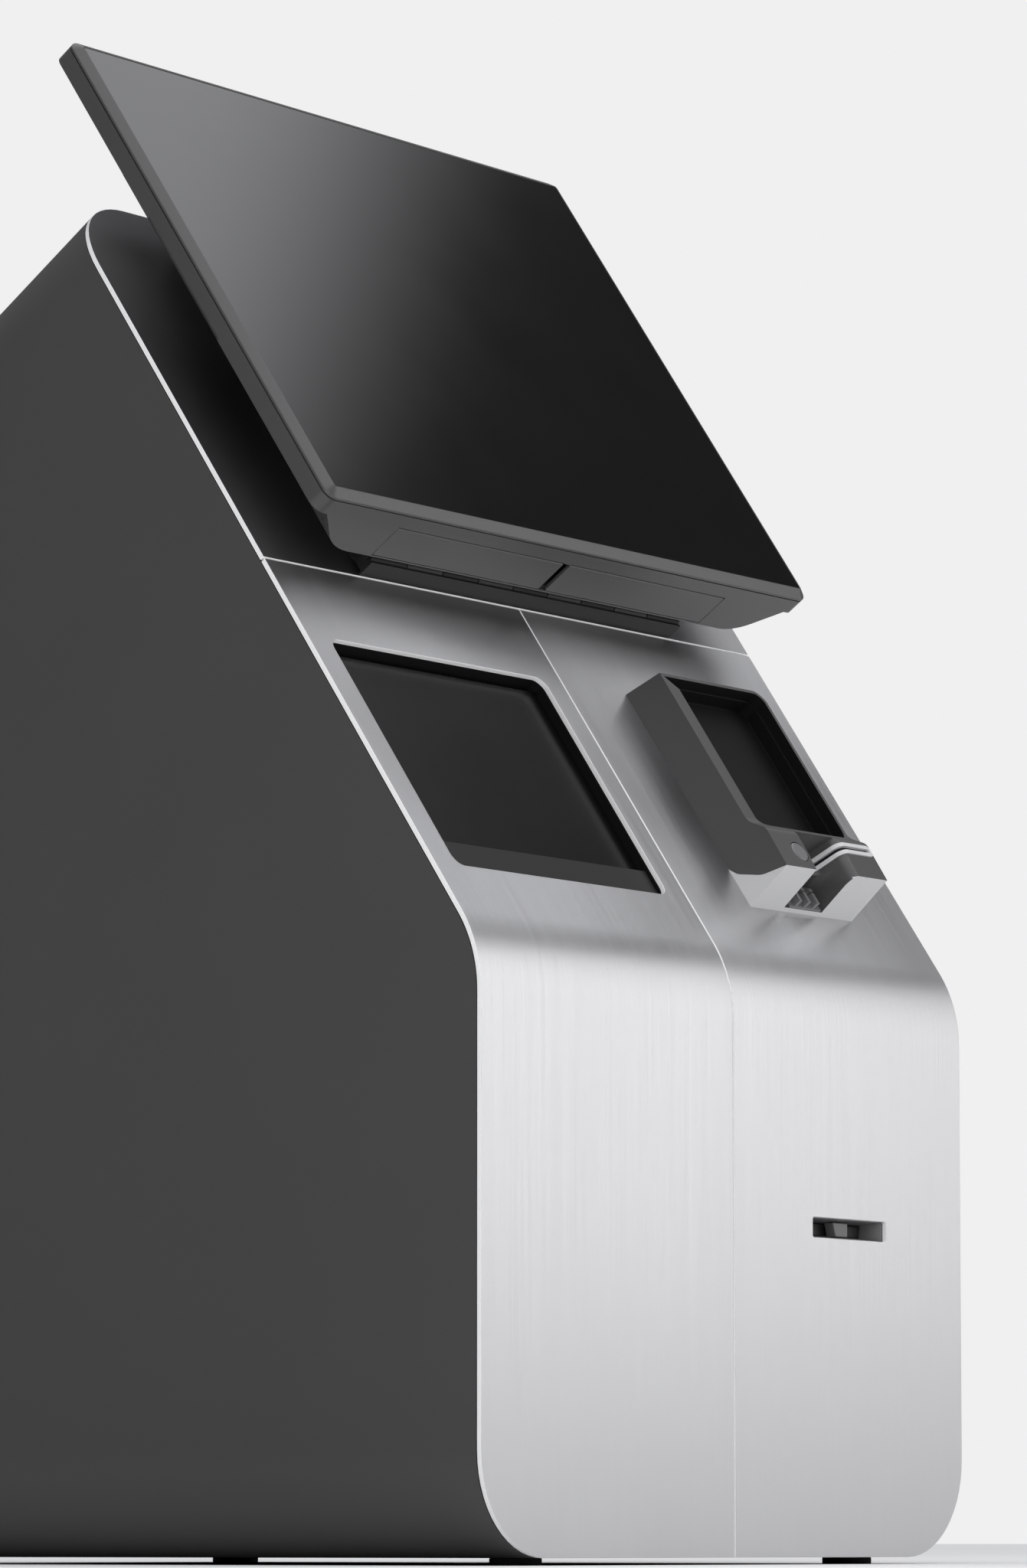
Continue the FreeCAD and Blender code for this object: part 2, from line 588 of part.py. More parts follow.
button_cap = rod("button_cap", "z", ("button_side", "button_up", "nose_proud - 6.4"),
                 "button_radius", "6.4")
button_cap_edge = doc.addObject("Part::Chamfer", "button_cap_edge")
button_cap_edge.Base = button_cap
button_cap_edge.Edges = [(number, 0.6, 0.6)
                         for number, edge in enumerate(button_cap.Shape.Edges, start=1)
                         if abs(edge.BoundBox.ZMin - size("nose_proud")) < 1e-3]
button_cap_edge.recompute()
node("cradle_button", "sloped", button_cap_edge)

# ---------------------------------------------------------------- display

right_of = "width - (%s)"


def screen_slab(name, out_low, out_high, inset="0", radius="screen_round"):
    return rounded(box(name, ("screen_left + (%s)" % inset, "width - screen_left - (%s)" % inset),
                       ("screen_low + (%s)" % inset, "screen_high - (%s)" % inset),
                       (out_low, out_high)), "z", radius)


bezel_slab = screen_slab("bezel_slab", "parting + 0.2", "screen_front")
bezel_edge = doc.addObject("Part::Chamfer", "bezel_edge")
bezel_edge.Base = bezel_slab
front_edges = [number for number, edge in enumerate(bezel_slab.Shape.Edges, start=1)
               if all(abs(v.Point.z - size("screen_front")) < 1e-3 for v in edge.Vertexes)]
bezel_edge.Edges = [(number, 1.8, 1.8) for number in front_edges]
bezel_edge.recompute()
glass_room = screen_slab("glass_room", "0", "80", "border", "screen_round - border + 1")
node("display_bezel", "sloped", cut("bezel_ring", bezel_edge, glass_room))
node("display_glass", "sloped", screen_slab("glass", "screen_front - 3", "screen_front - 0.15",
                                            "border + 0.15", "screen_round - border + 0.8"))
node("display_panel", "sloped", box("panel", ("20", right_of % "20"), ("262", "542"),
                                    ("40", "screen_front - 3.2")))

hump_corners = [("10", "housing_back + 1"), ("hump_left - 6", "hump_back"),
                ("width - hump_left + 6", "hump_back"), ("width - 10", "housing_back + 1")]
hump_inner = [("15", "housing_back + 1.6"), ("hump_left - 4", "hump_back + 2"),
              ("width - hump_left + 4", "hump_back + 2"), ("width - 15", "housing_back + 1.6")]
hump_bends = [(1, "34"), (2, "34")]

housing_slab = screen_slab("housing_slab", "housing_back", "parting")
hump_block = outline("hump_block", "XZ_Plane", hump_corners, "0 - hump_high",
                     "hump_high - screen_low", fillets=hump_bends)
hump_slope = outline("hump_slope", "YZ_Plane",
                     [("hump_high - 60", "0"), ("hump_high + 5", "housing_back + 1"),
                      ("hump_high + 40", "housing_back + 1"), ("hump_high + 40", "0")],
                     "0", "width")
housing_outer = fuse("housing_outer", housing_slab, cut("hump_tapered", hump_block, hump_slope))
housing_room = screen_slab("housing_room", "housing_back + 2", "80", "2.5", "screen_round - 2.5")
hump_room = outline("hump_room", "XZ_Plane", hump_inner, "0 - (hump_high - 66)",
                    "hump_high - 68 - screen_low", fillets=hump_bends)
cover_holes = [box("cover_hole_" + which, side(which, "cover_left - 0.4", "cover_middle + 0.4"),
                   ("screen_low - 5", "screen_low + 3"), ("cover_low - 0.4", "cover_high + 0.7"))
               for which in ("left", "right")]
edge_step = box("edge_step", ("screen_left - 5", "screen_left + 1.2"), ("359.6", "443"),
                ("30", "housing_back + 1.3"))
cable_slot = box("cable_slot", ("cover_middle", right_of % "cover_middle"),
                 ("screen_low - 5", "screen_low + 3"), ("cover_low - 0.4", "cover_high + 0.3"))
vents = [box("vent_%s_%d" % (which, number),
             side(which, "%g" % (21 + 6 * number), "%g" % (25 + 6 * number)),
             ("screen_low + 1.4", "screen_low + 8"), ("10", "34"))
         for which in ("left", "right") for number in range(3)]
node("display_housing", "sloped", cut("housing", housing_outer, housing_room, hump_room, edge_step,
                                      cable_slot, *cover_holes, *vents))
for which in ("left", "right"):
    cover_sheet = rounded(box(which + "_cover", side(which, "cover_left", "cover_middle"),
                              ("screen_low", "screen_low + 1.8"), ("cover_low", "cover_high")), "y", "1",
                          keep=lambda spot: spot.z < size("cover_low") + 1)
    node(which + "_chin_cover", "sloped",
         rounded(cover_sheet, "x", "0.89", keep=lambda spot: spot.z > size("cover_high") - 1))
node("display_board", "sloped", box("board", ("150", "270"), ("300", "400"), ("24", "26")))

mount_block = rounded(box("mount_block", ("mount_left", right_of % "mount_left"),
                          ("mount_low", "mount_high"), ("0.2", "mount_proud")), "z", "5")
mount_room = box("mount_room", ("mount_left + 12", right_of % "mount_left - 12"),
                 ("mount_low + 14", "mount_high - 14"), ("2.5", "40"))
knuckle_count = 9
knuckle_step = "(width - 2 * mount_left) / %d" % knuckle_count
barrels = {0: [], 1: []}
for number in range(knuckle_count):
    start = "mount_left + 0.4 + %d * %s" % (number, knuckle_step)
    barrels[number % 2].append(rod("knuckle_%d" % number, "x", (start, "barrel_up", "barrel_out"),
                                   "barrel_radius", knuckle_step + " - 0.8"))


def pin_bore(name):
    return rod(name, "x", ("mount_left - 5", "barrel_up", "barrel_out"), "pin_radius + 0.05",
               "width - 2 * mount_left + 10")


mount_lip = box("mount_lip", ("mount_left", right_of % "mount_left"),
                ("seam_up + 0.8", "barrel_up - barrel_radius - 0.3"), ("0.2", "barrel_out + 1.4"))
webs = []
for number in range(0, knuckle_count, 2):
    start = "mount_left + 0.4 + %d * %s" % (number, knuckle_step)
    webs.append(box("mount_web_%d" % number, (start, start + " + %s - 0.8" % knuckle_step),
                    ("seam_up + 1", "mount_low + 2"), ("2", "barrel_out - 1")))
mount_stock = fuse("mount_stock", cut("mount_tray", mount_block, mount_room), mount_lip, *barrels[0], *webs)
node("display_mount", "sloped", cut("mount", mount_stock, pin_bore("mount_bore")))
leaves = []
for number in range(1, knuckle_count, 2):
    start = "mount_left + 0.4 + %d * %s" % (number, knuckle_step)
    leaves.append(box("leaf_%d" % number, (start, start + " + %s - 0.8" % knuckle_step),
                      ("barrel_up - 2", "barrel_up + 1"), ("barrel_out", "hump_back")))
leaf_plate = box("leaf_plate", ("mount_left + 2", right_of % "mount_left - 2"),
                 ("barrel_up - 2", "barrel_up + 24"), ("hump_back - 2", "hump_back - 0.05"))
leaf_stock = fuse("leaf_stock", *barrels[1], *leaves, leaf_plate)
node("hinge_leaf", "sloped", cut("leaf", leaf_stock, pin_bore("leaf_bore")))
node("hinge_pin", "sloped", rod("tilt_pin", "x", ("mount_left - 2", "barrel_up", "barrel_out"),
                                "pin_radius", "width - 2 * mount_left + 4"))

# ---------------------------------------------------------------- back of the cabinet

back_sheet = box("back_sheet", ("0", "width"), ("back_inner", "back_outer"),
                 ("0", "corner_height + slope_length"))
back_core = cabinet_block("back_core", "0 - 20", "wall + 0.2", "wall + 0.2", "0 - 20", "wall + 0.2",
                          "bend_radius + 20", "wall + 0.2")
back_common = doc.addObject("Part::Common", "back_common")
back_common.Base, back_common.Tool = back_sheet, back_core
back_common.recompute()
door_hole = rounded(box("door_hole", ("door_left - 1", "door_right + 4"), ("480", "500"),
                        ("door_low - 1", "door_high + 1")), "y", "1.5")
inlet_hole = rounded(box("inlet_hole", ("86", "114"), ("480", "500"), ("48", "68")), "y", "2")
grille = []
for ring, count in ((9, 6), (18, 12), (27, 18)):
    for number in range(count):
        angle = 2 * math.pi * number / count
        grille.append(rod("grille_hole", "y", ("fan_side + %g" % (ring * math.cos(angle)), "480",
                                               "fan_height + %g" % (ring * math.sin(angle))),
                          "2.6", "20"))
lugs = []
for name, low in (("lug_low", "door_low - 6"), ("lug_high", "door_high + 1")):
    lug = box(name, ("pivot_side - 6", "door_right + 9"), ("pivot_back - 5", "back_inner"),
              (low, low + " + 5"))
    bore = rod(name + "_bore", "z", ("pivot_side", "pivot_back", low + " - 5"), "2.05", "20")
    lugs.append(cut(name + "_cut", lug, bore))
panel_cut = cut("panel_cut", back_common, door_hole, inlet_hole, *grille)
node("rear_panel", "upright", fuse("panel_lugs", panel_cut, *lugs))

door_sheet = rounded(box("door_sheet", ("door_left", "door_right"), ("back_inner", "back_outer"),
                         ("door_low", "door_high")), "y", "3.5")
flange_block = box("flange_block", ("100", "door_right - 0.5"), ("back_inner - 12", "back_inner + 1"),
                   ("door_low + 3", "door_high - 3"))
flange_room = box("flange_room", ("101.5", "door_right - 12"), ("back_inner - 13", "back_inner"),
                  ("door_low + 4.5", "door_high - 4.5"))
louvres = [box("louvre_%d" % number, ("150", "310"), ("480", "500"),
               ("%g" % (330 + 14 * number), "%g" % (334 + 14 * number))) for number in range(7)]
lock_hole = rod("lock_hole", "y", ("lock_side", "480", "lock_height"), "9.1", "20")
pivots = [rod("pivot_low", "z", ("pivot_side", "pivot_back", "door_low - 4.5"), "2", "12"),
          rod("pivot_high", "z", ("pivot_side", "pivot_back", "door_high - 7.5"), "2", "12")]
door_body = fuse("door_body", door_sheet, cut("flange", flange_block, flange_room), *pivots)
node("rear_door", "upright", cut("door", door_body, lock_hole, *louvres))

barrel_body = fuse("barrel_body", rod("barrel_tube", "y", ("lock_side", "478", "lock_height"), "9", "12"),
                   rod("barrel_flange", "y", ("lock_side", "back_outer", "lock_height"), "11", "1.8"))
node("lock_barrel", "upright", cut("barrel", barrel_body,
                                   rod("plug_bore", "y", ("lock_side", "470", "lock_height"), "5.55", "30")))
plug = rod("plug", "y", ("lock_side", "474", "lock_height"), "5.5", "17.2")
key_slot = box("key_slot", ("lock_side - 0.6", "lock_side + 0.6"), ("486", "495"),
               ("lock_height - 3.5", "lock_height + 3.5"))
cam = rounded(box("cam", ("lock_side - 6", "lock_side + 6"), ("474", "476.5"),
                  ("lock_height - 6", "lock_height + 34")), "y", "5")
node("lock_cam", "upright", cut("lock_plug", fuse("plug_cam", plug, cam), key_slot))

fan_block = rounded(box("fan_block", ("fan_side - 40", "fan_side + 40"), ("back_inner - 25.2", "back_inner - 0.2"),
                        ("fan_height - 40", "fan_height + 40")), "y", "4")
fan_bore = rod("fan_bore", "y", ("fan_side", "back_inner - 40", "fan_height"), "38", "60")
struts = [rod("fan_disc", "y", ("fan_side", "back_inner - 3.2", "fan_height"), "15", "3"),
          box("strut_across", ("fan_side - 39", "fan_side + 39"), ("back_inner - 3.2", "back_inner - 0.2"),
              ("fan_height - 2", "fan_height + 2")),
          box("strut_up", ("fan_side - 2", "fan_side + 2"), ("back_inner - 3.2", "back_inner - 0.2"),
              ("fan_height - 39", "fan_height + 39"))]
fan_frame = fuse("fan_frame", cut("fan_ring", fan_block, fan_bore), *struts)
node("fan_housing", "upright", cut("fan_cut", fan_frame,
                                   rod("shaft_bore", "y", ("fan_side", "back_inner - 10", "fan_height"),
                                       "2.05", "8.5")))
blades = [rod("fan_hub", "y", ("fan_side", "back_inner - 23", "fan_height"), "15", "19"),
          rod("fan_shaft", "y", ("fan_side", "back_inner - 6", "fan_height"), "2", "4")]
BLADE_COUNT = 7
BLADE_PITCH = 38
for number in range(BLADE_COUNT):
    blade = doc.addObject("Part::Box", "blade_%d" % number)
    blade.Length, blade.Width, blade.Height = 23, 20, 1.4
    twist = FreeCAD.Placement(FreeCAD.Vector(0, 0, 0), FreeCAD.Rotation(FreeCAD.Vector(1, 0, 0), BLADE_PITCH))
    middle_out = FreeCAD.Placement(FreeCAD.Vector(13, -10, -0.7), FreeCAD.Rotation())
    turn = FreeCAD.Placement(FreeCAD.Vector(size("fan_side"), size("back_inner - 13"), size("fan_height")),
                             FreeCAD.Rotation(FreeCAD.Vector(0, 1, 0), 360.0 * number / BLADE_COUNT))
    blade.Placement = turn.multiply(twist).multiply(middle_out)
    blade.recompute()
    blades.append(blade)
node("fan_rotor", "upright", fuse("rotor", *blades))

inlet_block = fuse("inlet_block", box("inlet_body", ("87", "113"), ("468", "490"), ("49", "67")),
                   rounded(box("inlet_flange", ("78", "122"), ("back_outer + 0.05", "depth"),
                               ("44", "72")), "y", "3"))
inlet_room = box("inlet_room", ("89", "111"), ("474", "495"), ("51", "65"))
inlet_pins = [box("inlet_pin_%d" % number, (low, low + " + 1.6"), ("472", "488"), ("55", "60"))
              for number, low in enumerate(("93", "99.2", "105.4"))]
node("power_inlet", "upright", fuse("inlet", cut("inlet_cut", inlet_block, inlet_room), *inlet_pins))

computer_case = rounded(box("computer_case", ("120", "300"), ("250", "420"), ("497.2", "540")), "z", "4")
fin_gaps = [box("fin_gap_%d" % number, ("%g" % (126 + 8 * number), "%g" % (130 + 8 * number)),
                ("245", "425"), ("528", "545")) for number in range(21)]
node("control_computer", "upright", cut("computer", computer_case, *fin_gaps))
supply_case = rounded(box("supply_case", ("26", "106"), ("260", "420"), ("497.2", "545")), "z", "2")
supply_room = box("supply_room", ("28", "104"), ("262", "418"), ("499.2", "543"))
supply_vents = [box("supply_vent_%d" % number, ("%g" % (34 + 7 * number), "%g" % (37 + 7 * number)),
                    ("410", "425"), ("505", "537")) for number in range(9)]
node("power_supply", "upright", cut("supply", supply_case, supply_room, *supply_vents))

screw_spots = [(x, z) for x in ("26", "width - 26") for z in ("110", "290", "470")]
node("panel_screws", "upright", group("screws", *[
    rod("panel_screw", "y", (x, "back_outer + 0.02", z), "4", "1.8") for x, z in screw_spots]))

# ---------------------------------------------------------------- placing, checking and writing

probe_name = probe.Name
doc.recompute()
upright = FreeCAD.Placement(FreeCAD.Vector(-size("width / 2"), -size("centre_depth"), size("foot_rise")),
                            FreeCAD.Rotation())
sloped = upright.multiply(slope_placement())
for label, (item, frame) in nodes.items():
    item.Placement = upright if frame == "upright" else sloped
doc.removeObject(probe_name)
doc.recompute()

failed = [item.Label for item in doc.Objects if {"Invalid", "Error"} & set(item.State)]
if failed:
    raise RuntimeError("objects that failed: " + ", ".join(failed))
whole = FreeCAD.BoundBox()
for label, (item, frame) in nodes.items():
    if item.Shape.isNull() or not item.Shape.isValid() or not item.Shape.Solids:
        raise RuntimeError("no valid solid in " + label)
    whole.add(item.Shape.BoundBox)
os.makedirs("parts", exist_ok=True)
for label, (item, frame) in nodes.items():
    item.Shape.exportStep("parts/%s.step" % label)
    print("%-20s %3d solids %10.1f mm3" % (label, len(item.Shape.Solids), item.Shape.Volume))
print(len(nodes), "nodes, box", whole)
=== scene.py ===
# %% [markdown]
# # A touchscreen kiosk
# The kiosk is a folded steel cabinet with a brushed front, a display on a tilt hinge, a payment
# cradle, a document bin and two service drawers.  The engineering model is loaded first as a
# fixed frame.  Each visible surface is then rebuilt or refinished around it, and every piece
# rides on the part of the frame that it is fixed to.

import json
import math

import bmesh
import bpy
from mathutils import Matrix, Vector


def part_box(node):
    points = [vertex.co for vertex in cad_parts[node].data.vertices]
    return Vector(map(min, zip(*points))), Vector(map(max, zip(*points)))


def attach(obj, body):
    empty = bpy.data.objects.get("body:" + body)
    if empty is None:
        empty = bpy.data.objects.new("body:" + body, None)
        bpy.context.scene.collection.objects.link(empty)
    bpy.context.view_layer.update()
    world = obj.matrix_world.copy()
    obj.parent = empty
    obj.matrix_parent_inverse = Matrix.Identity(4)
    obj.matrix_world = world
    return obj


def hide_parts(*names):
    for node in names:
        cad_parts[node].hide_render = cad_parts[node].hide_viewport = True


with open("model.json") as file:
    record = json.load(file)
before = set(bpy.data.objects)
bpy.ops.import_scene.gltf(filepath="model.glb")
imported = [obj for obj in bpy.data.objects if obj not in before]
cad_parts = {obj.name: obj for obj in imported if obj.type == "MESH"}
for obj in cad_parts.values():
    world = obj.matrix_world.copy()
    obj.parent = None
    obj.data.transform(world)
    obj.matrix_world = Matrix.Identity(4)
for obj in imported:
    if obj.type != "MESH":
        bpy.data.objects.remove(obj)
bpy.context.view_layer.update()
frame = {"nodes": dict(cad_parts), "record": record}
body_of = {node: body for body, nodes in frame["record"]["behaviour"]["bodies"].items()
           for node in nodes}

# %% [markdown]
# ## Camera
# The camera stands almost on the floor, to the left of the front.  It looks up a little, so the
# display looms over the viewer.  A long lens from over three metres away keeps the
# perspective calm, as in a catalogue picture.

# %% Camera
CAMERA_PLACE = (-2.4759, -2.0091, 0.0114)
CAMERA_HEADING = math.radians(-52.42)
CAMERA_PITCH = math.radians(5.02)
CAMERA_LENS = 136.7
CAMERA_SHIFT = 0.15
camera_data = bpy.data.cameras.new("camera")
camera_data.lens = CAMERA_LENS
camera_data.shift_y = CAMERA_SHIFT
camera = bpy.data.objects.new("camera", camera_data)
camera.location = CAMERA_PLACE
camera.rotation_euler = (math.pi / 2 + CAMERA_PITCH, 0, CAMERA_HEADING)
bpy.context.scene.collection.objects.link(camera)
bpy.context.scene.camera = camera
print("camera: %.0f mm lens, pitched up %.1f degrees"
      % (CAMERA_LENS, math.degrees(CAMERA_PITCH)))

# %% [markdown]
# ## Two working spaces
# The lower front is upright, the upper front leans back.  Measuring on the leaning front is
# easier in its own directions: across, up the slope and out of it.  `on_slope` turns those three
# into a place in the room.  The few sizes below come from the frame's own boxes where it has them.

# %% Working spaces
MM = 0.001
LEAN = math.radians(34.2)
shell_low, shell_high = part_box("cabinet_shell")
plate_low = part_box("left_front_plate")[0]
LEFT, FRONT, FOOT = shell_low.x, plate_low.y, shell_low.z
WIDTH = shell_high.x - shell_low.x
CORNER = 296.5 * MM
PLATE = 2.7 * MM


def upright(across, back, up):
    """A place measured from the front left bottom corner of the cabinet."""
    return Vector((LEFT + across, FRONT + back, FOOT + up))


def on_slope(across, up, out):
    """A place measured across, up the leaning front and out of it."""
    back = up * math.sin(LEAN) - out * math.cos(LEAN)
    return upright(across, back, CORNER + up * math.cos(LEAN) + out * math.sin(LEAN))


print("cabinet: %.0f mm wide, front at y = %.3f m" % (WIDTH / MM, FRONT))

# %% [markdown]
# ## Shader arithmetic
# A finish is mostly arithmetic on patterns: streaks and grain are added and scaled, and the result
# drives roughness, colour or bump.  `Field` lets a socket be used like a number, so such a finish
# reads as a formula.  `Nodes` stands for any node tree and makes every other node in it.

# %% Field and Nodes


class Field:
    """A value that varies over a surface and takes part in arithmetic."""

    def __init__(self, nodes, socket):
        self.nodes, self.socket = nodes, socket

    def maths(self, operation, first, second, clamp=False):
        """Add a Math node for two values and return what it gives."""
        made = self.nodes.node("ShaderNodeMath", {"operation": operation, "use_clamp": clamp},
                               {0: first, 1: second})
        return Field(self.nodes, made.outputs[0])

    def __add__(self, other):
        return self.maths("ADD", self, other)

    def __radd__(self, other):
        return self.maths("ADD", other, self)

    def __sub__(self, other):
        return self.maths("SUBTRACT", self, other)

    def __rsub__(self, other):
        return self.maths("SUBTRACT", other, self)

    def __mul__(self, other):
        return self.maths("MULTIPLY", self, other)

    def __rmul__(self, other):
        return self.maths("MULTIPLY", other, self)

    def wave(self):
        """The sine of the value, which runs between -1 and 1."""
        return self.maths("SINE", self, 0.0)

    def over(self, level):
        """1 where the value is above a level, 0 elsewhere."""
        return self.maths("GREATER_THAN", self, level)

    def clamped(self):
        """The value, held between 0 and 1."""
        return self.maths("ADD", self, 0.0, clamp=True)


class Nodes:
    """A node tree that is being filled: a material's, a world's or a modifier's."""

    def __init__(self, tree):
        self.tree = tree
        tree.nodes.clear()

    def node(self, kind, settings=None, sockets=None):
        """One new node: its settings are made first, then its sockets get values or links."""
        made = self.tree.nodes.new(kind)
        for name, value in (settings or {}).items():
            setattr(made, name, value)
        for name, value in (sockets or {}).items():
            if isinstance(value, Field):
                value = value.socket
            if isinstance(value, bpy.types.NodeSocket):
                self.tree.links.new(value, made.inputs[name])
            else:
                made.inputs[name].default_value = value
        return made


print("node tools ready")

# %% [markdown]
# ### One material
# Every finish here is one Principled surface.  `Finish` holds it, sets what is the same all over
# straight on its sockets, and offers the few patterns that the finishes are made from.  Patterns
# use Object coordinates, so they stay on a drawer front or a flap when it moves.

# %% Finish


class Finish(Nodes):
    """One material: a Principled surface and the nodes that feed it."""

    def __init__(self, name, **constants):
        self.material = bpy.data.materials.new(name)
        self.material.use_nodes = True
        super().__init__(self.material.node_tree)
        self.shader = self.node("ShaderNodeBsdfPrincipled")
        self.node("ShaderNodeOutputMaterial", {}, {"Surface": self.shader.outputs[0]})
        for constant, value in constants.items():
            self.set(constant.replace("_", " ").title().replace("Ior", "IOR"), value)

    def set(self, name, value):
        """Give one socket of the surface a constant or a field."""
        if isinstance(value, Field):
            self.tree.links.new(value.socket, self.shader.inputs[name])
        else:
            self.shader.inputs[name].default_value = value
        return self

    def place(self, stretch=(1, 1, 1)):
        """Object coordinates, squeezed along each axis: the pattern's own ruler."""
        ruler = self.node("ShaderNodeTexCoord")
        mapping = self.node("ShaderNodeMapping", {}, {"Vector": ruler.outputs["Object"],
                                                      "Scale": stretch})
        return mapping.outputs[0]

    def noise(self, scale, stretch=(1, 1, 1), detail=3.0):
        """Soft random patches; more detail adds finer ones on top."""
        made = self.node("ShaderNodeTexNoise", {}, {"Vector": self.place(stretch),
                                                    "Scale": scale, "Detail": detail})
        return Field(self, made.outputs["Fac"])

    def crystals(self, scale):
        """Flat cells, each with its own random level."""
        made = self.node("ShaderNodeTexVoronoi", {"feature": "F1"},
                         {"Vector": self.place(), "Scale": scale})
        return Field(self, made.outputs["Color"])

    def blend(self, low, high, share):
        """A colour between two others."""
        made = self.node("ShaderNodeMix", {"data_type": "RGBA"},
                         {0: share, 6: (*low, 1), 7: (*high, 1)})
        return Field(self, made.outputs[2])

    def bump(self, height, distance, strength):
        """Relief of the given depth in metres, which leaves the silhouette alone."""
        made = self.node("ShaderNodeBump", {}, {"Height": height, "Distance": distance,
                                                "Strength": strength})
        return self.set("Normal", Field(self, made.outputs[0]))


print("finish tools ready")

# %% [markdown]
# ## Brushed steel
# The front is stainless sheet brushed up and down.  Brushing leaves fine parallel scratches, so
# the pattern is noise squeezed hard across the sheet and drawn out along it.  The scratches vary
# the roughness and tilt the surface a little, and the shine itself spreads sideways.  The laser-cut
# edges were not brushed and are a little smoother; their near-white, almost non-metal colour is a
# painted highlight that stands in for the bright line a lit steel edge shows.

# %% Brushed steel and a cut edge with painted highlight


def brushed_steel():
    tint, darker, lighter = (0.56, 0.56, 0.57), 0.93, 1.07
    finish = Finish("brushed_steel", metallic=1.0, anisotropic=0.5)
    fine = finish.noise(1.0, (2600, 9, 9), 2.0)
    broad = finish.noise(1.0, (420, 3, 3), 2.0)
    cloud = finish.noise(9.0, detail=2.0)
    grain = fine * 0.6 + broad * 0.4
    finish.set("Base Color", finish.blend([darker * c for c in tint], [lighter * c for c in tint],
                                          (grain * 0.6 + cloud * 0.4).clamped()))
    finish.set("Roughness", 0.27 + grain * 0.16 + cloud * 0.05)
    return finish.bump(grain, 0.00012, 0.7).material


def painted_highlight_edge():
    finish = Finish("bright_cut_edge", metallic=0.05)
    saw = finish.noise(900, detail=1.0)
    # Near-white colour with almost no metal: a painted highlight for the bright lit edge of the
    # sheet.
    finish.set("Base Color", finish.blend((0.90, 0.90, 0.90), (0.98, 0.98, 0.98), saw))
    finish.set("Roughness", 0.3 + saw * 0.15)
    return finish.bump(saw, 0.00002, 0.4).material


STEEL = brushed_steel()
EDGE_PAINTED_HIGHLIGHT = painted_highlight_edge()
print("made", STEEL.name, "and", EDGE_PAINTED_HIGHLIGHT.name)

# %% [markdown]
# ## Paint and moulded plastic
# The cabinet is powder coated: baked powder flows into a fine orange peel that shows only in the
# shine.  The display and the cradle are injection moulded with a spark-eroded texture, which is
# finer and sharper.  Both are one recipe with different colour, grain size and gloss.

# %% Paint and plastic


def textured(name, colour, roughness, grain, relief, spread=0.12, **constants):
    """A coloured surface with a fine grain: colour, gloss and relief all vary a little."""
    finish = Finish(name, **constants)
    fine = finish.noise(grain, detail=4.0)
    cloud = finish.noise(14.0, detail=2.0)
    low = [c * (1 - spread) for c in colour]
    high = [c * (1 + spread) for c in colour]
    finish.set("Base Color", finish.blend(low, high, (fine * 0.7 + cloud * 0.3).clamped()))
    finish.set("Roughness", roughness - 0.05 + fine * 0.07 + cloud * 0.05)
    return finish.bump(fine, relief, 0.5).material


POWDER = textured("charcoal_powder_coat", (0.053, 0.050, 0.050), 0.52, 1500, 0.00004)
SATIN = textured("satin_dark_moulding", (0.062, 0.060, 0.061), 0.40, 2400, 0.00003)
BLACK = textured("matt_black_moulding", (0.010, 0.010, 0.011), 0.50, 2200, 0.00003)
PALE = textured("pale_grey_moulding", (0.57, 0.57, 0.575), 0.42, 2200, 0.00002, spread=0.05)
CASE = textured("grey_machine_case", (0.30, 0.31, 0.32), 0.45, 1800, 0.00003)
RUBBER = textured("black_rubber", (0.012, 0.012, 0.012), 0.72, 900, 0.00006, spread=0.3)
CASTING = textured("anodised_casting", (0.10, 0.10, 0.105), 0.40, 1300, 0.00004, metallic=0.7)
KEY_GREY = textured("smooth_grey_key", (0.15, 0.15, 0.152), 0.30, 3000, 0.00001)
DUSK = textured("dark_matt_moulding", (0.018, 0.0175, 0.0175), 0.5, 2200, 0.00003,
                specular_ior_level=0.2)
LINING = textured("soft_black_lining", (0.005, 0.005, 0.005), 0.6, 2000, 0.00003,
                  specular_ior_level=0.12)
SMOKE_GREY = textured("mid_grey_moulding", (0.13, 0.13, 0.132), 0.38, 2300, 0.00002)
print("made the paints and plastics")

# %% [markdown]
# ## Glass, metal and circuit board
# The display's cover glass is black behind and slightly etched, so it mirrors the studio softly.
# The smoked flap is a duller gloss.  Inside, the folded brackets are zinc plated: large pale
# crystals, each a slightly different grey, which a cell pattern gives.  Turned parts are plated
# bright, and the display's board is green with a fine grid of tracks.

# %% Glass, metal and board


def dark_gloss(name, roughness, smear, **constants):
    finish = Finish(name, ior=1.52, **constants)
    smudge = finish.noise(16.0, detail=3.0)
    dust = finish.noise(1400.0, detail=1.0)
    finish.set("Base Color", finish.blend((0.002, 0.002, 0.0022), (0.004, 0.0039, 0.004), smudge))
    finish.set("Roughness", roughness + smudge * smear)
    return finish.bump(dust, 0.000004, 0.2).material


def zinc():
    finish = Finish("zinc_plated_sheet", metallic=1.0)
    crystal = finish.crystals(160.0)
    scratch = finish.noise(1.0, (700, 700, 12), 2.0)
    finish.set("Base Color", finish.blend((0.42, 0.43, 0.45), (0.60, 0.61, 0.62), crystal))
    finish.set("Roughness", 0.30 + crystal * 0.12 + scratch * 0.1)
    return finish.bump(scratch, 0.00002, 0.4).material


def bright_metal():
    finish = Finish("bright_plated_metal", metallic=1.0)
    turned = finish.noise(1.0, (900, 60, 900), 2.0)
    finish.set("Base Color", finish.blend((0.60, 0.60, 0.61), (0.74, 0.74, 0.75), turned))
    finish.set("Roughness", 0.18 + turned * 0.14)
    return finish.bump(turned, 0.00001, 0.3).material


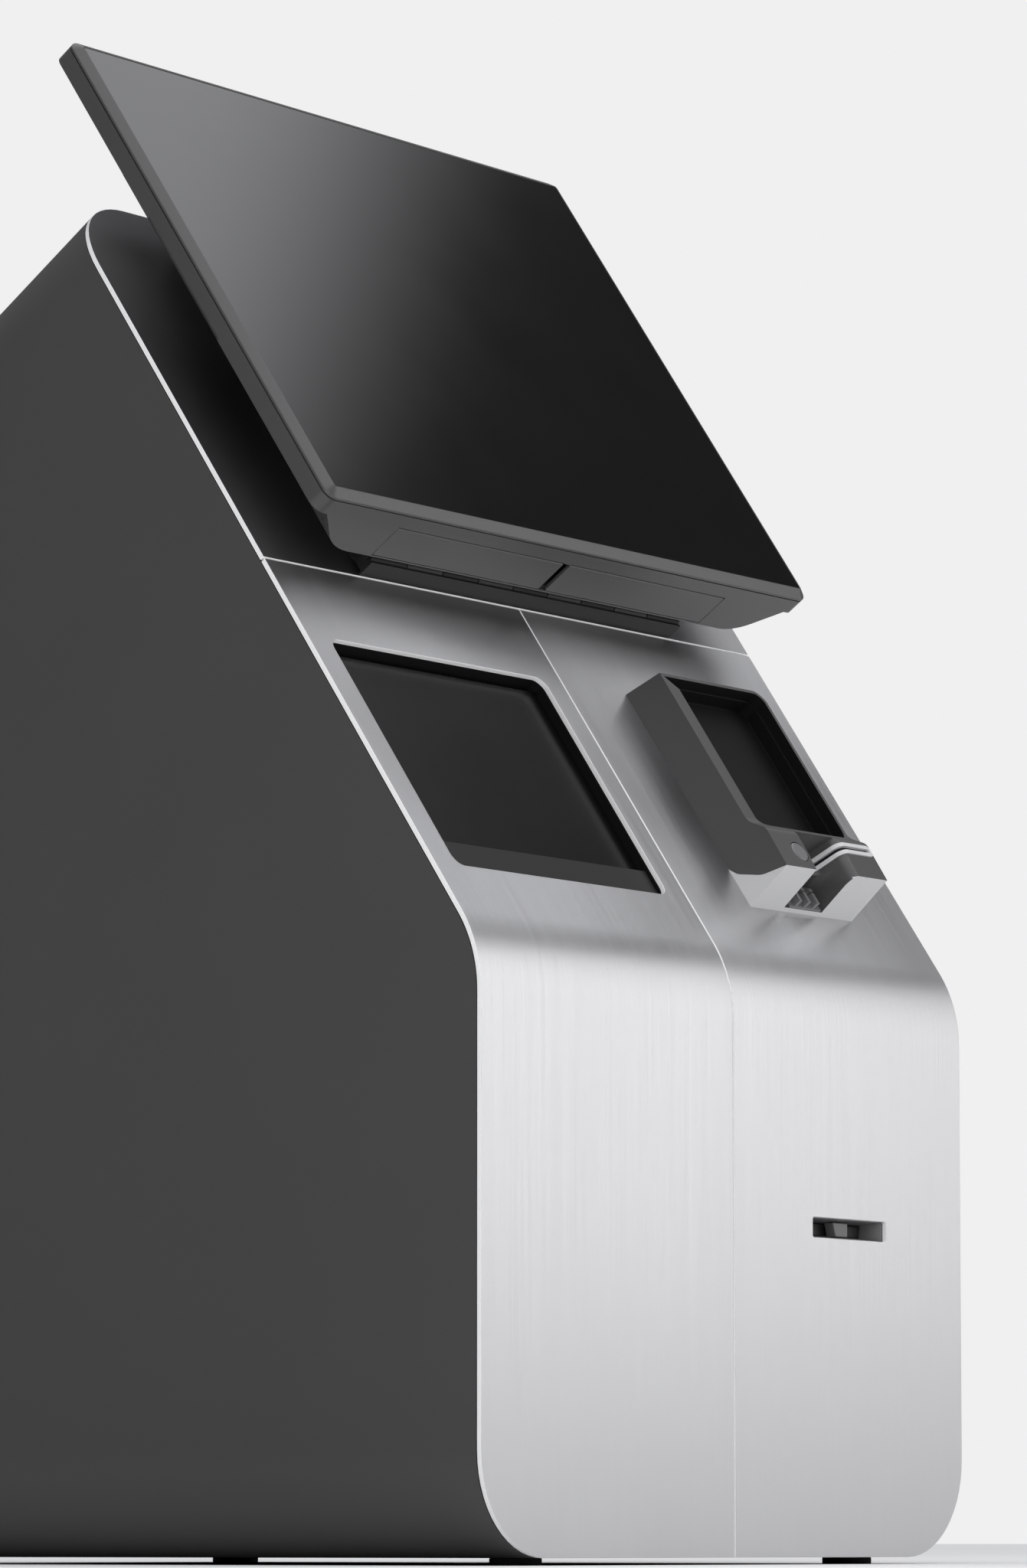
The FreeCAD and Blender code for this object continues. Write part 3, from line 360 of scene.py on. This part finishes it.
def circuit_board():
    """Solder mask with tracks: a fine square grid, broken up so that it reads as wiring."""
    finish = Finish("green_circuit_board", roughness=0.35)
    ruler = finish.node("ShaderNodeSeparateXYZ", {}, {"Vector": finish.place()})
    across, up = (Field(finish, ruler.outputs[axis]) for axis in ("X", "Z"))
    lines = (across * 2500.0).wave().over(0.55)
    gate = finish.noise(60.0, detail=1.0).over(0.48)
    rows = (up * 1600.0).wave().over(0.75)
    track = (lines * gate + rows * (1.0 - gate)).clamped()
    finish.set("Base Color", finish.blend((0.006, 0.075, 0.03), (0.02, 0.17, 0.07), track))
    return finish.bump(track, 0.00003, 0.6).material


GLASS = dark_gloss("black_backed_glass", 0.07, 0.03)
SMOKED = dark_gloss("smoked_gloss", 0.22, 0.08, specular_ior_level=0.2)
ZINC = zinc()
CHROME = bright_metal()
BOARD = circuit_board()
print("made", len(bpy.data.materials), "materials so far")

# %% [markdown]
# ## Finishing a piece
# A real edge is never perfectly sharp: sheet is deburred and plastic has a small radius, and that
# radius is what catches the light.  `finish_piece` gives a mesh its material, narrow rounded
# edges, smooth shading and its place on a body.  `refined` does so to a merged copy of a frame
# node, where the shape is right and only its edges and surface want work.  `block` and `wall`
# close the solids that are built here from outlines.

# %% Finishing tools
TINY = 1e-6
SHARP = math.radians(32)
NEARLY_FLAT = math.radians(0.6)


def new_piece(name, mesh):
    piece = bpy.data.objects.new(name, mesh)
    bpy.context.scene.collection.objects.link(piece)
    return piece


def from_bmesh(name, solid):
    mesh = bpy.data.meshes.new(name)
    solid.to_mesh(mesh)
    solid.free()
    return new_piece(name, mesh)


def wall(solid, lower, upper):
    """Join two loops of corners all the way round."""
    for this in range(len(lower)):
        after = (this + 1) % len(lower)
        solid.faces.new((lower[this], lower[after], upper[after], upper[this]))


def block(name, near, far):
    """A closed solid between two matching outlines."""
    solid = bmesh.new()
    near, far = ([solid.verts.new(spot) for spot in outline] for outline in (near, far))
    solid.faces.new(near)
    solid.faces.new(reversed(far))
    wall(solid, near, far)
    bmesh.ops.recalc_face_normals(solid, faces=solid.faces)
    return from_bmesh(name, solid)


def finish_piece(piece, materials, node, edge=0.0):
    """Round its edges, shade it smooth, and put it on the body of the node that it stands for."""
    for material in materials:
        piece.data.materials.append(material)
    piece.data.shade_smooth()
    if edge:
        rounding = piece.modifiers.new("rounded_edges", "BEVEL")
        rounding.width, rounding.segments = edge, 2
        rounding.limit_method, rounding.angle_limit = "ANGLE", SHARP
        rounding.harden_normals = True
    weighting = piece.modifiers.new("flat_faces_stay_flat", "WEIGHTED_NORMAL")
    weighting.keep_sharp = True
    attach(piece, body_of[node])
    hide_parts(node)
    return piece


def refined(node, material, edge):
    """A merged copy of a frame node with soft edges."""
    solid = bmesh.new()
    solid.from_mesh(frame["nodes"][node].data)
    bmesh.ops.remove_doubles(solid, verts=solid.verts, dist=TINY)
    bmesh.ops.dissolve_limit(solid, angle_limit=NEARLY_FLAT, verts=solid.verts,
                             edges=solid.edges)
    for corner in solid.edges:
        corner.smooth = not (len(corner.link_faces) == 2 and corner.calc_face_angle(0) > SHARP)
    return finish_piece(from_bmesh(node + "_finished", solid), [material], node, edge)


def dress(material, *nodes):
    """Give frame nodes whose shape is right a better material."""
    for node in nodes:
        data = frame["nodes"][node].data
        data.materials.clear()
        data.materials.append(material)


print("finishing tools ready")

# %% [markdown]
# ## The bent front plates
# The real plates are laser cut flat, then folded once on a press brake.  The same order works
# here: the outline with its window is laid out flat, given thickness, cut across where the bend
# will be, and rolled round the bend radius.  The holes come out true and the bend is smooth.

# %% Flat blanks
BEND_RADIUS = 72 * MM
BEND_START = CORNER - BEND_RADIUS * math.tan(LEAN / 2)
BEND_END = BEND_START + BEND_RADIUS * LEAN
BEND_CUTS = 28
BEND_MARGIN = 2 * MM
ARC_STEPS = 14
EDGE_ROUND = 0.25 * MM
RIM_TILT = 0.9


def along(up_slope):
    """How far up the flat blank a place on the slope lies."""
    return BEND_END + up_slope - BEND_RADIUS * math.tan(LEAN / 2)


def round_rect(left, right, low, high, radii, steps=ARC_STEPS):
    """A rectangle by its sides, each corner an arc, anticlockwise from the lower left."""
    points = []
    centres = ((left, low, 1, 1, 180), (right, low, -1, 1, 270), (right, high, -1, -1, 0),
               (left, high, 1, -1, 90))
    for (x, y, to_x, to_y, start), radius in zip(centres, radii):
        radius = max(radius, TINY)
        for step in range(steps + 1):
            turn = math.radians(start + 90 * step / steps)
            points.append((x + to_x * radius + radius * math.cos(turn),
                           y + to_y * radius + radius * math.sin(turn)))
    return points


def flat_blank(name, outlines, thickness):
    """A plate with holes, lying flat: the first outline is its rim, the others are holes."""
    curve = bpy.data.curves.new(name, "CURVE")
    curve.dimensions, curve.fill_mode = "2D", "BOTH"
    curve.extrude, curve.bevel_depth = thickness / 2 - EDGE_ROUND, EDGE_ROUND
    curve.offset, curve.bevel_resolution = -EDGE_ROUND, 1
    for points in outlines:
        spline = curve.splines.new("POLY")
        spline.points.add(len(points) - 1)
        for spot, (x, y) in zip(spline.points, points):
            spot.co = (x, y, 0, 1)
        spline.use_cyclic_u = True
    holder = new_piece(name, curve)
    bpy.context.view_layer.update()
    flat = bpy.data.meshes.new_from_object(holder.evaluated_get(
        bpy.context.evaluated_depsgraph_get()))
    bpy.data.objects.remove(holder)
    bpy.data.curves.remove(curve)
    solid = bmesh.new()
    solid.from_mesh(flat)
    bpy.data.meshes.remove(flat)
    bmesh.ops.remove_doubles(solid, verts=solid.verts, dist=TINY)
    return solid


def rolled(spot):
    """Roll a place on the flat blank round the bend; its third number is depth into the sheet."""
    across, length, deep = spot
    turn = min(max((length - BEND_START) / BEND_RADIUS, 0.0), LEAN)
    beyond = max(length - BEND_END, 0.0)
    below = min(length, BEND_START)
    back = BEND_RADIUS * (1 - math.cos(turn)) + beyond * math.sin(LEAN) + deep * math.cos(turn)
    up = below + BEND_RADIUS * math.sin(turn) + beyond * math.cos(LEAN) - deep * math.sin(turn)
    return upright(across, back, up)


def front_plate(name, node, outlines):
    """Cut, bend and finish one plate; its rims get the cut-edge finish, whose colour is a painted
    highlight.
    """
    solid = flat_blank(name, outlines, PLATE)
    lines = [BEND_START - BEND_MARGIN, BEND_END + BEND_MARGIN]
    lines += [BEND_START + (BEND_END - BEND_START) * cut / BEND_CUTS
              for cut in range(BEND_CUTS + 1)]
    for line in lines:
        bmesh.ops.bisect_plane(solid, geom=solid.verts[:] + solid.edges[:] + solid.faces[:],
                               dist=TINY, plane_co=(0, line, 0), plane_no=(0, 1, 0))
    solid.normal_update()
    for face in solid.faces:
        face.material_index = 1 if abs(face.normal.z) < RIM_TILT else 0
    for spot in solid.verts:
        spot.co = rolled((spot.co.x, spot.co.y, PLATE / 2 - spot.co.z))
    bmesh.ops.recalc_face_normals(solid, faces=solid.faces)
    piece = from_bmesh(name, solid)
    print(name, len(piece.data.polygons), "faces")
    return finish_piece(piece, [STEEL, EDGE_PAINTED_HIGHLIGHT], node)


# %% [markdown]
# ### The three plates
# Two lower plates meet in the middle and are the fronts of the two drawers; one upper plate sits
# behind the display.  Only the outer corners are generously round: where plates meet, the corners
# are nearly square, so that the seams read as fine straight lines.

# %% Three plates
GAP, SEAM_GAP = 0.6 * MM, 0.5 * MM
SEAM, TOP = 246 * MM, 493.5 * MM
LOW_ROUND, TOP_ROUND, SQUARE = 52 * MM, 50 * MM, 0.4 * MM
WINDOW_ROUND, SLOT_ROUND = 7 * MM, 1.4 * MM
window = round_rect(17.3 * MM, 193.8 * MM, along(51.5 * MM), along(196 * MM), [WINDOW_ROUND] * 4)
note_slot = round_rect(280.7 * MM, 348.8 * MM, 165.8 * MM, 176.5 * MM, [SLOT_ROUND] * 4)
left_rim = round_rect(0, WIDTH / 2 - GAP, 0, along(SEAM - SEAM_GAP),
                      [LOW_ROUND, SQUARE, SQUARE, SQUARE])
right_rim = round_rect(WIDTH / 2 + GAP, WIDTH, 0, along(SEAM - SEAM_GAP),
                       [SQUARE, LOW_ROUND, SQUARE, SQUARE])
upper_rim = round_rect(0, WIDTH, along(SEAM + SEAM_GAP), along(TOP),
                       [SQUARE, SQUARE, TOP_ROUND, TOP_ROUND])
front_plate("left_brushed_front", "left_front_plate", [left_rim, window])
front_plate("right_brushed_front", "right_front_plate", [right_rim, note_slot])
front_plate("upper_brushed_front", "upper_plate", [upper_rim])

# %% [markdown]
# ## The display
# The display is two mouldings that meet at a parting line, with glass let into the front one.
# The front frame is a band that slopes from the glass down to the side.  Both glass and frame
# are built as stacks of rounded rectangles joined ring to ring, so the corners stay truly round
# and each small radius is a ring of its own.

# %% Rings on the leaning front
SCREEN = (1.3 * MM, WIDTH - 1.3 * MM, 245 * MM, 558 * MM)
SCREEN_ROUND, LEAST_ROUND = 7 * MM, 1.6 * MM
RING_STEPS = 10


def ring(inset, out):
    """A rounded rectangle of the display's outline, drawn in by an inset, at a height."""
    left, right, low, high = SCREEN
    radius = max(SCREEN_ROUND - inset, LEAST_ROUND)
    points = round_rect(left + inset, right - inset, low + inset, high - inset, [radius] * 4,
                        RING_STEPS)
    return [on_slope(x, y, out) for x, y in points]


def stacked(name, profile, closed=False):
    """Rings joined in order; the last one is joined to the first or both ends are capped."""
    solid = bmesh.new()
    rings = [[solid.verts.new(spot) for spot in ring(inset * MM, out * MM)]
             for inset, out in profile]
    for lower, upper in zip(rings, rings[1:]):
        wall(solid, lower, upper)
    if closed:
        wall(solid, rings[-1], rings[0])
    else:
        solid.faces.new(reversed(rings[0]))
        solid.faces.new(rings[-1])
    bmesh.ops.recalc_face_normals(solid, faces=solid.faces)
    return from_bmesh(name, solid)


print("ring tools ready")

# %% [markdown]
# ### Frame, glass and housing
# Each pair below is an inset from the outline and a height above the slope, both in millimetres.
# The frame's first pairs draw the small groove at the parting line, the middle ones its rounded
# side and the last ones its slope up to the glass.

# %% Frame and glass
frame_profile = [(5.6, 47.0), (1.1, 47.0), (1.1, 47.4), (0.2, 47.4), (0.0, 47.6), (0.0, 48.3),
                 (0.15, 48.75), (0.5, 49.05), (5.0, 51.75), (5.3, 51.85), (5.5, 51.75), (5.6, 51.4)]
finish_piece(stacked("display_frame", frame_profile, closed=True), [SATIN], "display_bezel")
glass_profile = [(5.75, 49.1), (5.75, 51.3), (5.85, 51.5), (6.1, 51.6)]
finish_piece(stacked("display_cover_glass", glass_profile), [GLASS], "display_glass")
refined("display_housing", SATIN, 0.5 * MM)
for which in ("left", "right"):
    refined(which + "_chin_cover", SATIN, 0.15 * MM)
print("display built")

# %% [markdown]
# ## Cabinet, cradle and fittings
# These pieces have the right shape in the frame, so each is a merged copy with softened edges
# and its own finish.  The number beside each is its edge radius in millimetres.  Parts that are
# deep inside keep the frame's own mesh and only get a better material.

# %% Refined pieces
for node, material, edge in (
        ("cabinet_shell", POWDER, 0.35), ("rear_panel", POWDER, 0.2), ("rear_door", POWDER, 0.25),
        ("cradle_liner", LINING, 0.25), ("card_slot_trim", PALE, 0.15),
        ("card_guide", SMOKE_GREY, 0.15), ("card_reader", BLACK, 0.2),
        ("cradle_button", KEY_GREY, 0.2), ("bin_flap", SMOKED, 0.06), ("bin_ledge", DUSK, 0.3),
        ("bin_liner", LINING, 0.2), ("slot_bezel", SMOKE_GREY, 0.12), ("slot_shutter", BLACK, 0.1),
        ("feet", RUBBER, 0.5), ("lock_barrel", CHROME, 0.2), ("lock_cam", CHROME, 0.15),
        ("power_inlet", BLACK, 0.25), ("fan_housing", BLACK, 0.3), ("fan_rotor", BLACK, 0.15),
        ("display_mount", DUSK, 0.4), ("receipt_printer", CASE, 0.5), ("note_unit", CASE, 0.5),
        ("cash_box", CASE, 0.5)):
    refined(node, material, edge * MM)
dress(ZINC, "base_plate", "centre_wall", "equipment_shelf", "power_supply",
      *(which + part for which in ("left", "right")
        for part in ("_front_ribs", "_tray", "_rail_outers", "_rail_middles", "_rail_inners")))
dress(CASTING, "control_computer")
dress(BLACK, "display_panel", "document_chute", "hinge_leaf", "hinge_pin")
dress(BOARD, "display_board")
print("refined and dressed")

# %% [markdown]
# ### Two-tone mouldings
# The cradle's nose is pale outside, but the finger dip cut into it is lined with the same dark
# plastic as the shell.  The shell's own recess is lined in soft black.  A face belongs to a
# lining when all its corners lie inside the cut's limits across, up and out of the slope, which
# are given in millimetres.

# %% Line the dip and the recess


def line_inside(piece, lining, across, up, out):
    """Give the faces that lie wholly within the limits a second material."""
    piece.data.materials.append(lining)
    lined = 0
    for face in piece.data.polygons:
        away = [piece.data.vertices[index].co - upright(0, 0, CORNER)
                for index in face.vertices]
        spots = [(spot.x, spot.y * math.sin(LEAN) + spot.z * math.cos(LEAN),
                  spot.z * math.sin(LEAN) - spot.y * math.cos(LEAN)) for spot in away]
        if all(low * MM < value < high * MM for spot in spots
               for value, (low, high) in zip(spot, (across, up, out))):
            face.material_index = 1
            lined += 1
    print(piece.name, lined, "of", len(piece.data.polygons), "faces are lined")


line_inside(refined("cradle_nose", PALE, 0.25 * MM), SATIN,
            across=(293.5, 330.5), up=(40, 90), out=(-5, 30.2))
line_inside(refined("cradle_shell", SATIN, 0.3 * MM), LINING,
            across=(268, 358.2), up=(87, 189.8), out=(-5, 25))

# %% [markdown]
# ### Guide finger in the note slot
# A note is steered past a small ramped finger just inside the mouth, right of the middle.

# %% Guide finger
FINGER_LEFT, FINGER_LOW = 311, 167.3
FINGER_FRONT, FINGER_BACK = 6.5, 12.5
finger_side = [(0, 0), (11, 0), (11, 7.6), (-2.5, 7.6)]
near, far = ([upright((FINGER_LEFT + x) * MM, back * MM, (FINGER_LOW + z) * MM)
              for x, z in finger_side] for back in (FINGER_FRONT, FINGER_BACK))
finger = block("note_guide_finger", near, far)
finish_piece(finger, [SMOKE_GREY], "slot_bezel", 0.5 * MM)
print("guide finger added:", len(finger.data.polygons), "faces")

# %% [markdown]
# ## Repeating parts
# Screws, vent hoods, sockets and board chips repeat.  A Geometry Nodes tree lays a unit out many
# times.  Here a tree is filled like a material's, gets named inputs, and is run once on an empty
# mesh: the outcome is copied to a plain mesh, so nothing is left to work out later.

# %% A tree that grows a mesh


class Growth(Nodes):
    """A Geometry Nodes tree with named inputs, run once and turned into a mesh."""

    def __init__(self, name):
        super().__init__(bpy.data.node_groups.new(name, "GeometryNodeTree"))
        self.tree.interface.new_socket("Geometry", in_out="OUTPUT",
                                       socket_type="NodeSocketGeometry")
        self.entry = self.node("NodeGroupInput")

    def offer(self, name, kind):
        """Add a named input and return its socket."""
        self.tree.interface.new_socket(name, in_out="INPUT", socket_type="NodeSocket" + kind)
        return self.entry.outputs[name]

    def run(self, name, **values):
        """The tree's result with these inputs, as a new object with a plain mesh."""
        holder = new_piece(name + "_source", bpy.data.meshes.new(name + "_source"))
        growing = holder.modifiers.new("growth", "NODES")
        growing.node_group = self.tree
        for item in self.tree.interface.items_tree:
            wanted = item.name.lower().replace(" ", "_")
            if item.in_out == "INPUT" and wanted in values:
                growing[item.identifier] = values[wanted]
        bpy.context.view_layer.update()
        grown = bpy.data.meshes.new_from_object(holder.evaluated_get(
            bpy.context.evaluated_depsgraph_get()))
        grown.materials.clear()
        bpy.data.objects.remove(holder)
        return new_piece(name, grown)


print("growth tools ready")

# %% [markdown]
# ### A grid of units
# All four repeats are rows and columns, so one tree serves them.  It takes the counts, the spans,
# the unit, the random spread of size, the seed and the material, and it ends by making the
# copies real and giving them their material.

# %% Grid tree


def grid_tree():
    growth = Growth("grid_of_units")
    columns, rows = growth.offer("Columns", "Int"), growth.offer("Rows", "Int")
    wide, high = growth.offer("Wide", "Float"), growth.offer("High", "Float")
    unit = growth.offer("Unit", "Object")
    least, most = growth.offer("Least Size", "Vector"), growth.offer("Most Size", "Vector")
    seed, material = growth.offer("Seed", "Int"), growth.offer("Material", "Material")
    grid = growth.node("GeometryNodeMeshGrid", {}, {"Size X": wide, "Size Y": high,
                                                    "Vertices X": columns, "Vertices Y": rows})
    size = growth.node("FunctionNodeRandomValue", {"data_type": "FLOAT_VECTOR"},
                       {0: least, 1: most, "Seed": seed})
    source = growth.node("GeometryNodeObjectInfo", {}, {"Object": unit})
    placed = growth.node("GeometryNodeInstanceOnPoints", {},
                         {"Points": grid.outputs["Mesh"], "Instance": source.outputs["Geometry"],
                          "Scale": size.outputs[0]})
    real = growth.node("GeometryNodeRealizeInstances", {}, {0: placed.outputs[0]})
    painted = growth.node("GeometryNodeSetMaterial", {}, {"Geometry": real.outputs[0],
                                                          "Material": material})
    growth.node("NodeGroupOutput", {}, {"Geometry": painted.outputs[0]})
    return growth


GRID = grid_tree()
print("grid tree:", len(GRID.tree.nodes), "nodes")

# %% [markdown]
# ### Making and placing units
# A screw head is turned, with a six-sided driver recess: it is a pile of rings, of which the first
# two are six-sided.  The other units are one section drawn out along a line.  `laid_out` runs the
# tree, turns the flat grid to face its surface and fixes it to a body.

# %% Unit tools
SCREW_SIDES, DRIVER_SIDES, DRIVER_RINGS = 16, 6, 2


def lathe(name, profile):
    """A turned unit: rings of (radius, height) from the driver recess out."""
    solid = bmesh.new()
    rings = []
    for number, (radius, height) in enumerate(profile):
        flats = DRIVER_SIDES if number < DRIVER_RINGS else SCREW_SIDES
        rings.append([solid.verts.new((radius * math.cos(math.tau * step / flats),
                                       radius * math.sin(math.tau * step / flats), height))
                      for step in range(flats)])
    solid.faces.new(rings[0])
    for lower, upper in zip(rings, rings[1:]):
        bridge = [solid.edges.get((loop[this], loop[(this + 1) % len(loop)]))
                  or solid.edges.new((loop[this], loop[(this + 1) % len(loop)]))
                  for loop in (lower, upper) for this in range(len(loop))]
        bmesh.ops.bridge_loops(solid, edges=bridge)
    solid.faces.new(rings[-1])
    bmesh.ops.recalc_face_normals(solid, faces=solid.faces)
    return from_bmesh(name, solid)


def drawn_out(name, section, length):
    """A closed section in y and z, drawn out along x about the middle, all in millimetres."""
    near, far = ([(x * MM, y * MM, z * MM) for y, z in section]
                 for x in (-length / 2, length / 2))
    return block(name, near, far)


def laid_out(name, node, unit, material, place, turn, columns, rows, wide, high,
             least=(1, 1, 1), most=(1, 1, 1), seed=1):
    """Run the grid tree, put the result in place and let it ride on a node's body."""
    piece = GRID.run(name, columns=columns, rows=rows, wide=wide, high=high, unit=unit,
                     least_size=least, most_size=most, seed=seed, material=material)
    piece.data.transform(Matrix.Translation(place) @ Matrix.Rotation(turn, 4, "X"))
    piece.data.materials.append(material)
    piece.data.shade_smooth()
    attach(piece, body_of[node])
    print(name, len(piece.data.polygons), "faces")
    return piece


print("unit tools ready")

# %% [markdown]
# ### What is repeated
# Six screws with driver recesses hold the rear panel, pressed hoods shed water over the door's
# vents, sockets line the control computer, and chips of many sizes fill the display's board.
# The units themselves are removed once they have been laid out.

# %% Panel screws
FACING_BACK = math.radians(-90)
PANEL_FACE, DOOR_FACE = 489.62 * MM, 489.6 * MM
screw_unit = lathe("screw_unit", [(radius * MM, height * MM) for radius, height in (
    (1.9, 0.5), (1.9, 1.8), (3.3, 1.8), (3.85, 1.35), (4.0, 0.9), (4.0, 0.0))])
screws = laid_out("rear_panel_screws", "panel_screws", screw_unit, CHROME,
                  upright(WIDTH / 2, PANEL_FACE, 290 * MM), FACING_BACK,
                  columns=2, rows=3, wide=368 * MM, high=360 * MM)
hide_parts("panel_screws")

# %% [markdown]
# ### Vent hoods
# A pressed hood is a curved skin, open along its lower side: a quarter oval outside, joined to a
# slightly smaller one inside.

# %% Vent hoods
HOOD_STEPS, HOOD_SKIN = 8, 0.7
HOOD_TALL, HOOD_DEEP, HOOD_MOUTH, HOOD_WIDE = 6.5, 3.6, 2.5, 162


def hood_arc(skin):
    """A quarter oval, drawn in by a skin's thickness."""
    turns = [math.pi / 2 * step / HOOD_STEPS for step in range(HOOD_STEPS + 1)]
    return [(HOOD_MOUTH - (HOOD_TALL - skin) * math.cos(turn), (HOOD_DEEP - skin) * math.sin(turn))
            for turn in turns]


hood_unit = drawn_out("hood_unit", hood_arc(0.0) + hood_arc(HOOD_SKIN)[::-1], HOOD_WIDE)
laid_out("door_vent_hoods", "rear_door", hood_unit, POWDER,
         upright(230 * MM, DOOR_FACE, 374 * MM), FACING_BACK,
         columns=1, rows=7, wide=0.0, high=84 * MM)

# %% [markdown]
# ### Sockets and chips
# Both are short blocks with a plain section.  The sockets are all alike; each chip's size is drawn
# at random between two limits from a fixed seed, so no two look the same.

# %% Sockets and chips
COMPUTER_FACE, BOARD_FACE = 420.02 * MM, 23.98 * MM
socket_section = [(-3, 0), (-3, 3), (-2, 3), (-2, 0.8), (2, 0.8), (2, 3), (3, 3), (3, 0)]
socket_unit = drawn_out("socket_unit", socket_section, 13)
laid_out("computer_sockets", "control_computer", socket_unit, ZINC,
         upright(210 * MM, COMPUTER_FACE, 511 * MM), FACING_BACK,
         columns=6, rows=2, wide=130 * MM, high=12 * MM)

FACING_BOARD = math.pi / 2 - LEAN + math.pi
chip_section = [(-3, 0), (-3, 0.9), (-2.7, 1.2), (2.7, 1.2), (3, 0.9), (3, 0)]
chip_unit = drawn_out("chip_unit", chip_section, 8)
laid_out("board_chips", "display_board", chip_unit, BLACK,
         on_slope(210 * MM, 350 * MM, BOARD_FACE), FACING_BOARD,
         columns=7, rows=8, wide=98 * MM, high=80 * MM,
         least=(0.4, 0.4, 0.6), most=(1.25, 1.1, 1.7), seed=11)
for unit in (screw_unit, hood_unit, socket_unit, chip_unit):
    bpy.data.objects.remove(unit)

# %% [markdown]
# ## Floor and light
# A pale floor runs back to the horizon.  It is matt, with hardly any shine, so that it takes soft
# shadows from the feet and doesn't mirror the cabinet.

# %% Floor
floor_finish = Finish("pale_floor", specular_ior_level=0.2)
floor_cloud = floor_finish.noise(3.0)
floor_finish.set("Base Color", floor_finish.blend((0.72, 0.72, 0.72), (0.78, 0.78, 0.78),
                                                  floor_cloud))
floor_finish.set("Roughness", 0.55 + floor_cloud * 0.1)
FLOOR_HALF = 30
floor_mesh = bpy.data.meshes.new("floor")
floor_mesh.from_pydata([(x * FLOOR_HALF, y * FLOOR_HALF, 0)
                        for x, y in ((-1, -1), (1, -1), (1, 1), (-1, 1))], [], [(0, 1, 2, 3)])
floor_mesh.materials.append(floor_finish.material)
floor = new_piece("floor", floor_mesh)
print("floor: %d m square" % (2 * FLOOR_HALF))

# %% [markdown]
# ### Two soft lights
# One tall soft light stands to the right of the front and is what the upright plates mirror.  A
# weaker one to the left fills the shadows under the display and on the cabinet's side.

# %% Lights


def soft_light(name, place, target, width, height, power):
    """A rectangular light, in watts, that faces its target and stays out of sight."""
    data = bpy.data.lights.new(name, "AREA")
    data.shape, data.size, data.size_y, data.energy = "RECTANGLE", width, height, power
    light = bpy.data.objects.new(name, data)
    light.location = place
    light.rotation_euler = (Vector(target) - Vector(place)).to_track_quat("-Z", "Y").to_euler()
    light.visible_camera = False
    bpy.context.scene.collection.objects.link(light)
    print(name, "of", power, "watts")


soft_light("tall_front_light", place=(1.85, -2.1, 0.98), target=(0.0, -0.2, 0.38),
           width=1.8, height=1.7, power=20)
soft_light("left_front_fill", place=(-1.25, -1.35, 0.75), target=(-0.2, -0.1, 0.35),
           width=1.0, height=1.0, power=11)

# %% [markdown]
# ### The sky
# The sky is a dim room below and a bright ceiling above, which meet in a narrow soft line.  The
# glass mirrors that line, so its sheen fades from grey to black.  Only light and reflections see
# the two levels: the camera itself sees one plain pale grey behind the kiosk.

# %% Sky
CEILING_EDGE = math.sin(math.radians(41))
SOFT_EDGE = 0.022
ROOM, CEILING, SEEN = 0.055, 1.65, 0.87
SKY_TINT = (0.97, 0.98, 1.0, 1)
world = bpy.data.worlds.new("studio")
bpy.context.scene.world = world
world.use_nodes = True
sky = Nodes(world.node_tree)
direction = sky.node("ShaderNodeTexCoord")
height = sky.node("ShaderNodeSeparateXYZ", {}, {0: direction.outputs["Generated"]})
edge_blend = sky.node("ShaderNodeMapRange", {"interpolation_type": "SMOOTHSTEP"},
                      {"Value": height.outputs["Z"], "From Min": CEILING_EDGE - SOFT_EDGE,
                       "From Max": CEILING_EDGE + SOFT_EDGE, "To Min": ROOM, "To Max": CEILING})
fill = sky.node("ShaderNodeBackground", {}, {"Color": SKY_TINT,
                                             "Strength": edge_blend.outputs["Result"]})
seen = sky.node("ShaderNodeBackground", {}, {"Color": (SEEN, SEEN, SEEN, 1)})
which_ray = sky.node("ShaderNodeLightPath")
choose = sky.node("ShaderNodeMixShader", {}, {0: which_ray.outputs["Is Camera Ray"],
                                              1: fill.outputs[0], 2: seen.outputs[0]})
sky.node("ShaderNodeOutputWorld", {}, {"Surface": choose.outputs[0]})
bpy.context.scene.view_settings.view_transform = "Standard"
print("sky set:", len(sky.tree.nodes), "nodes")
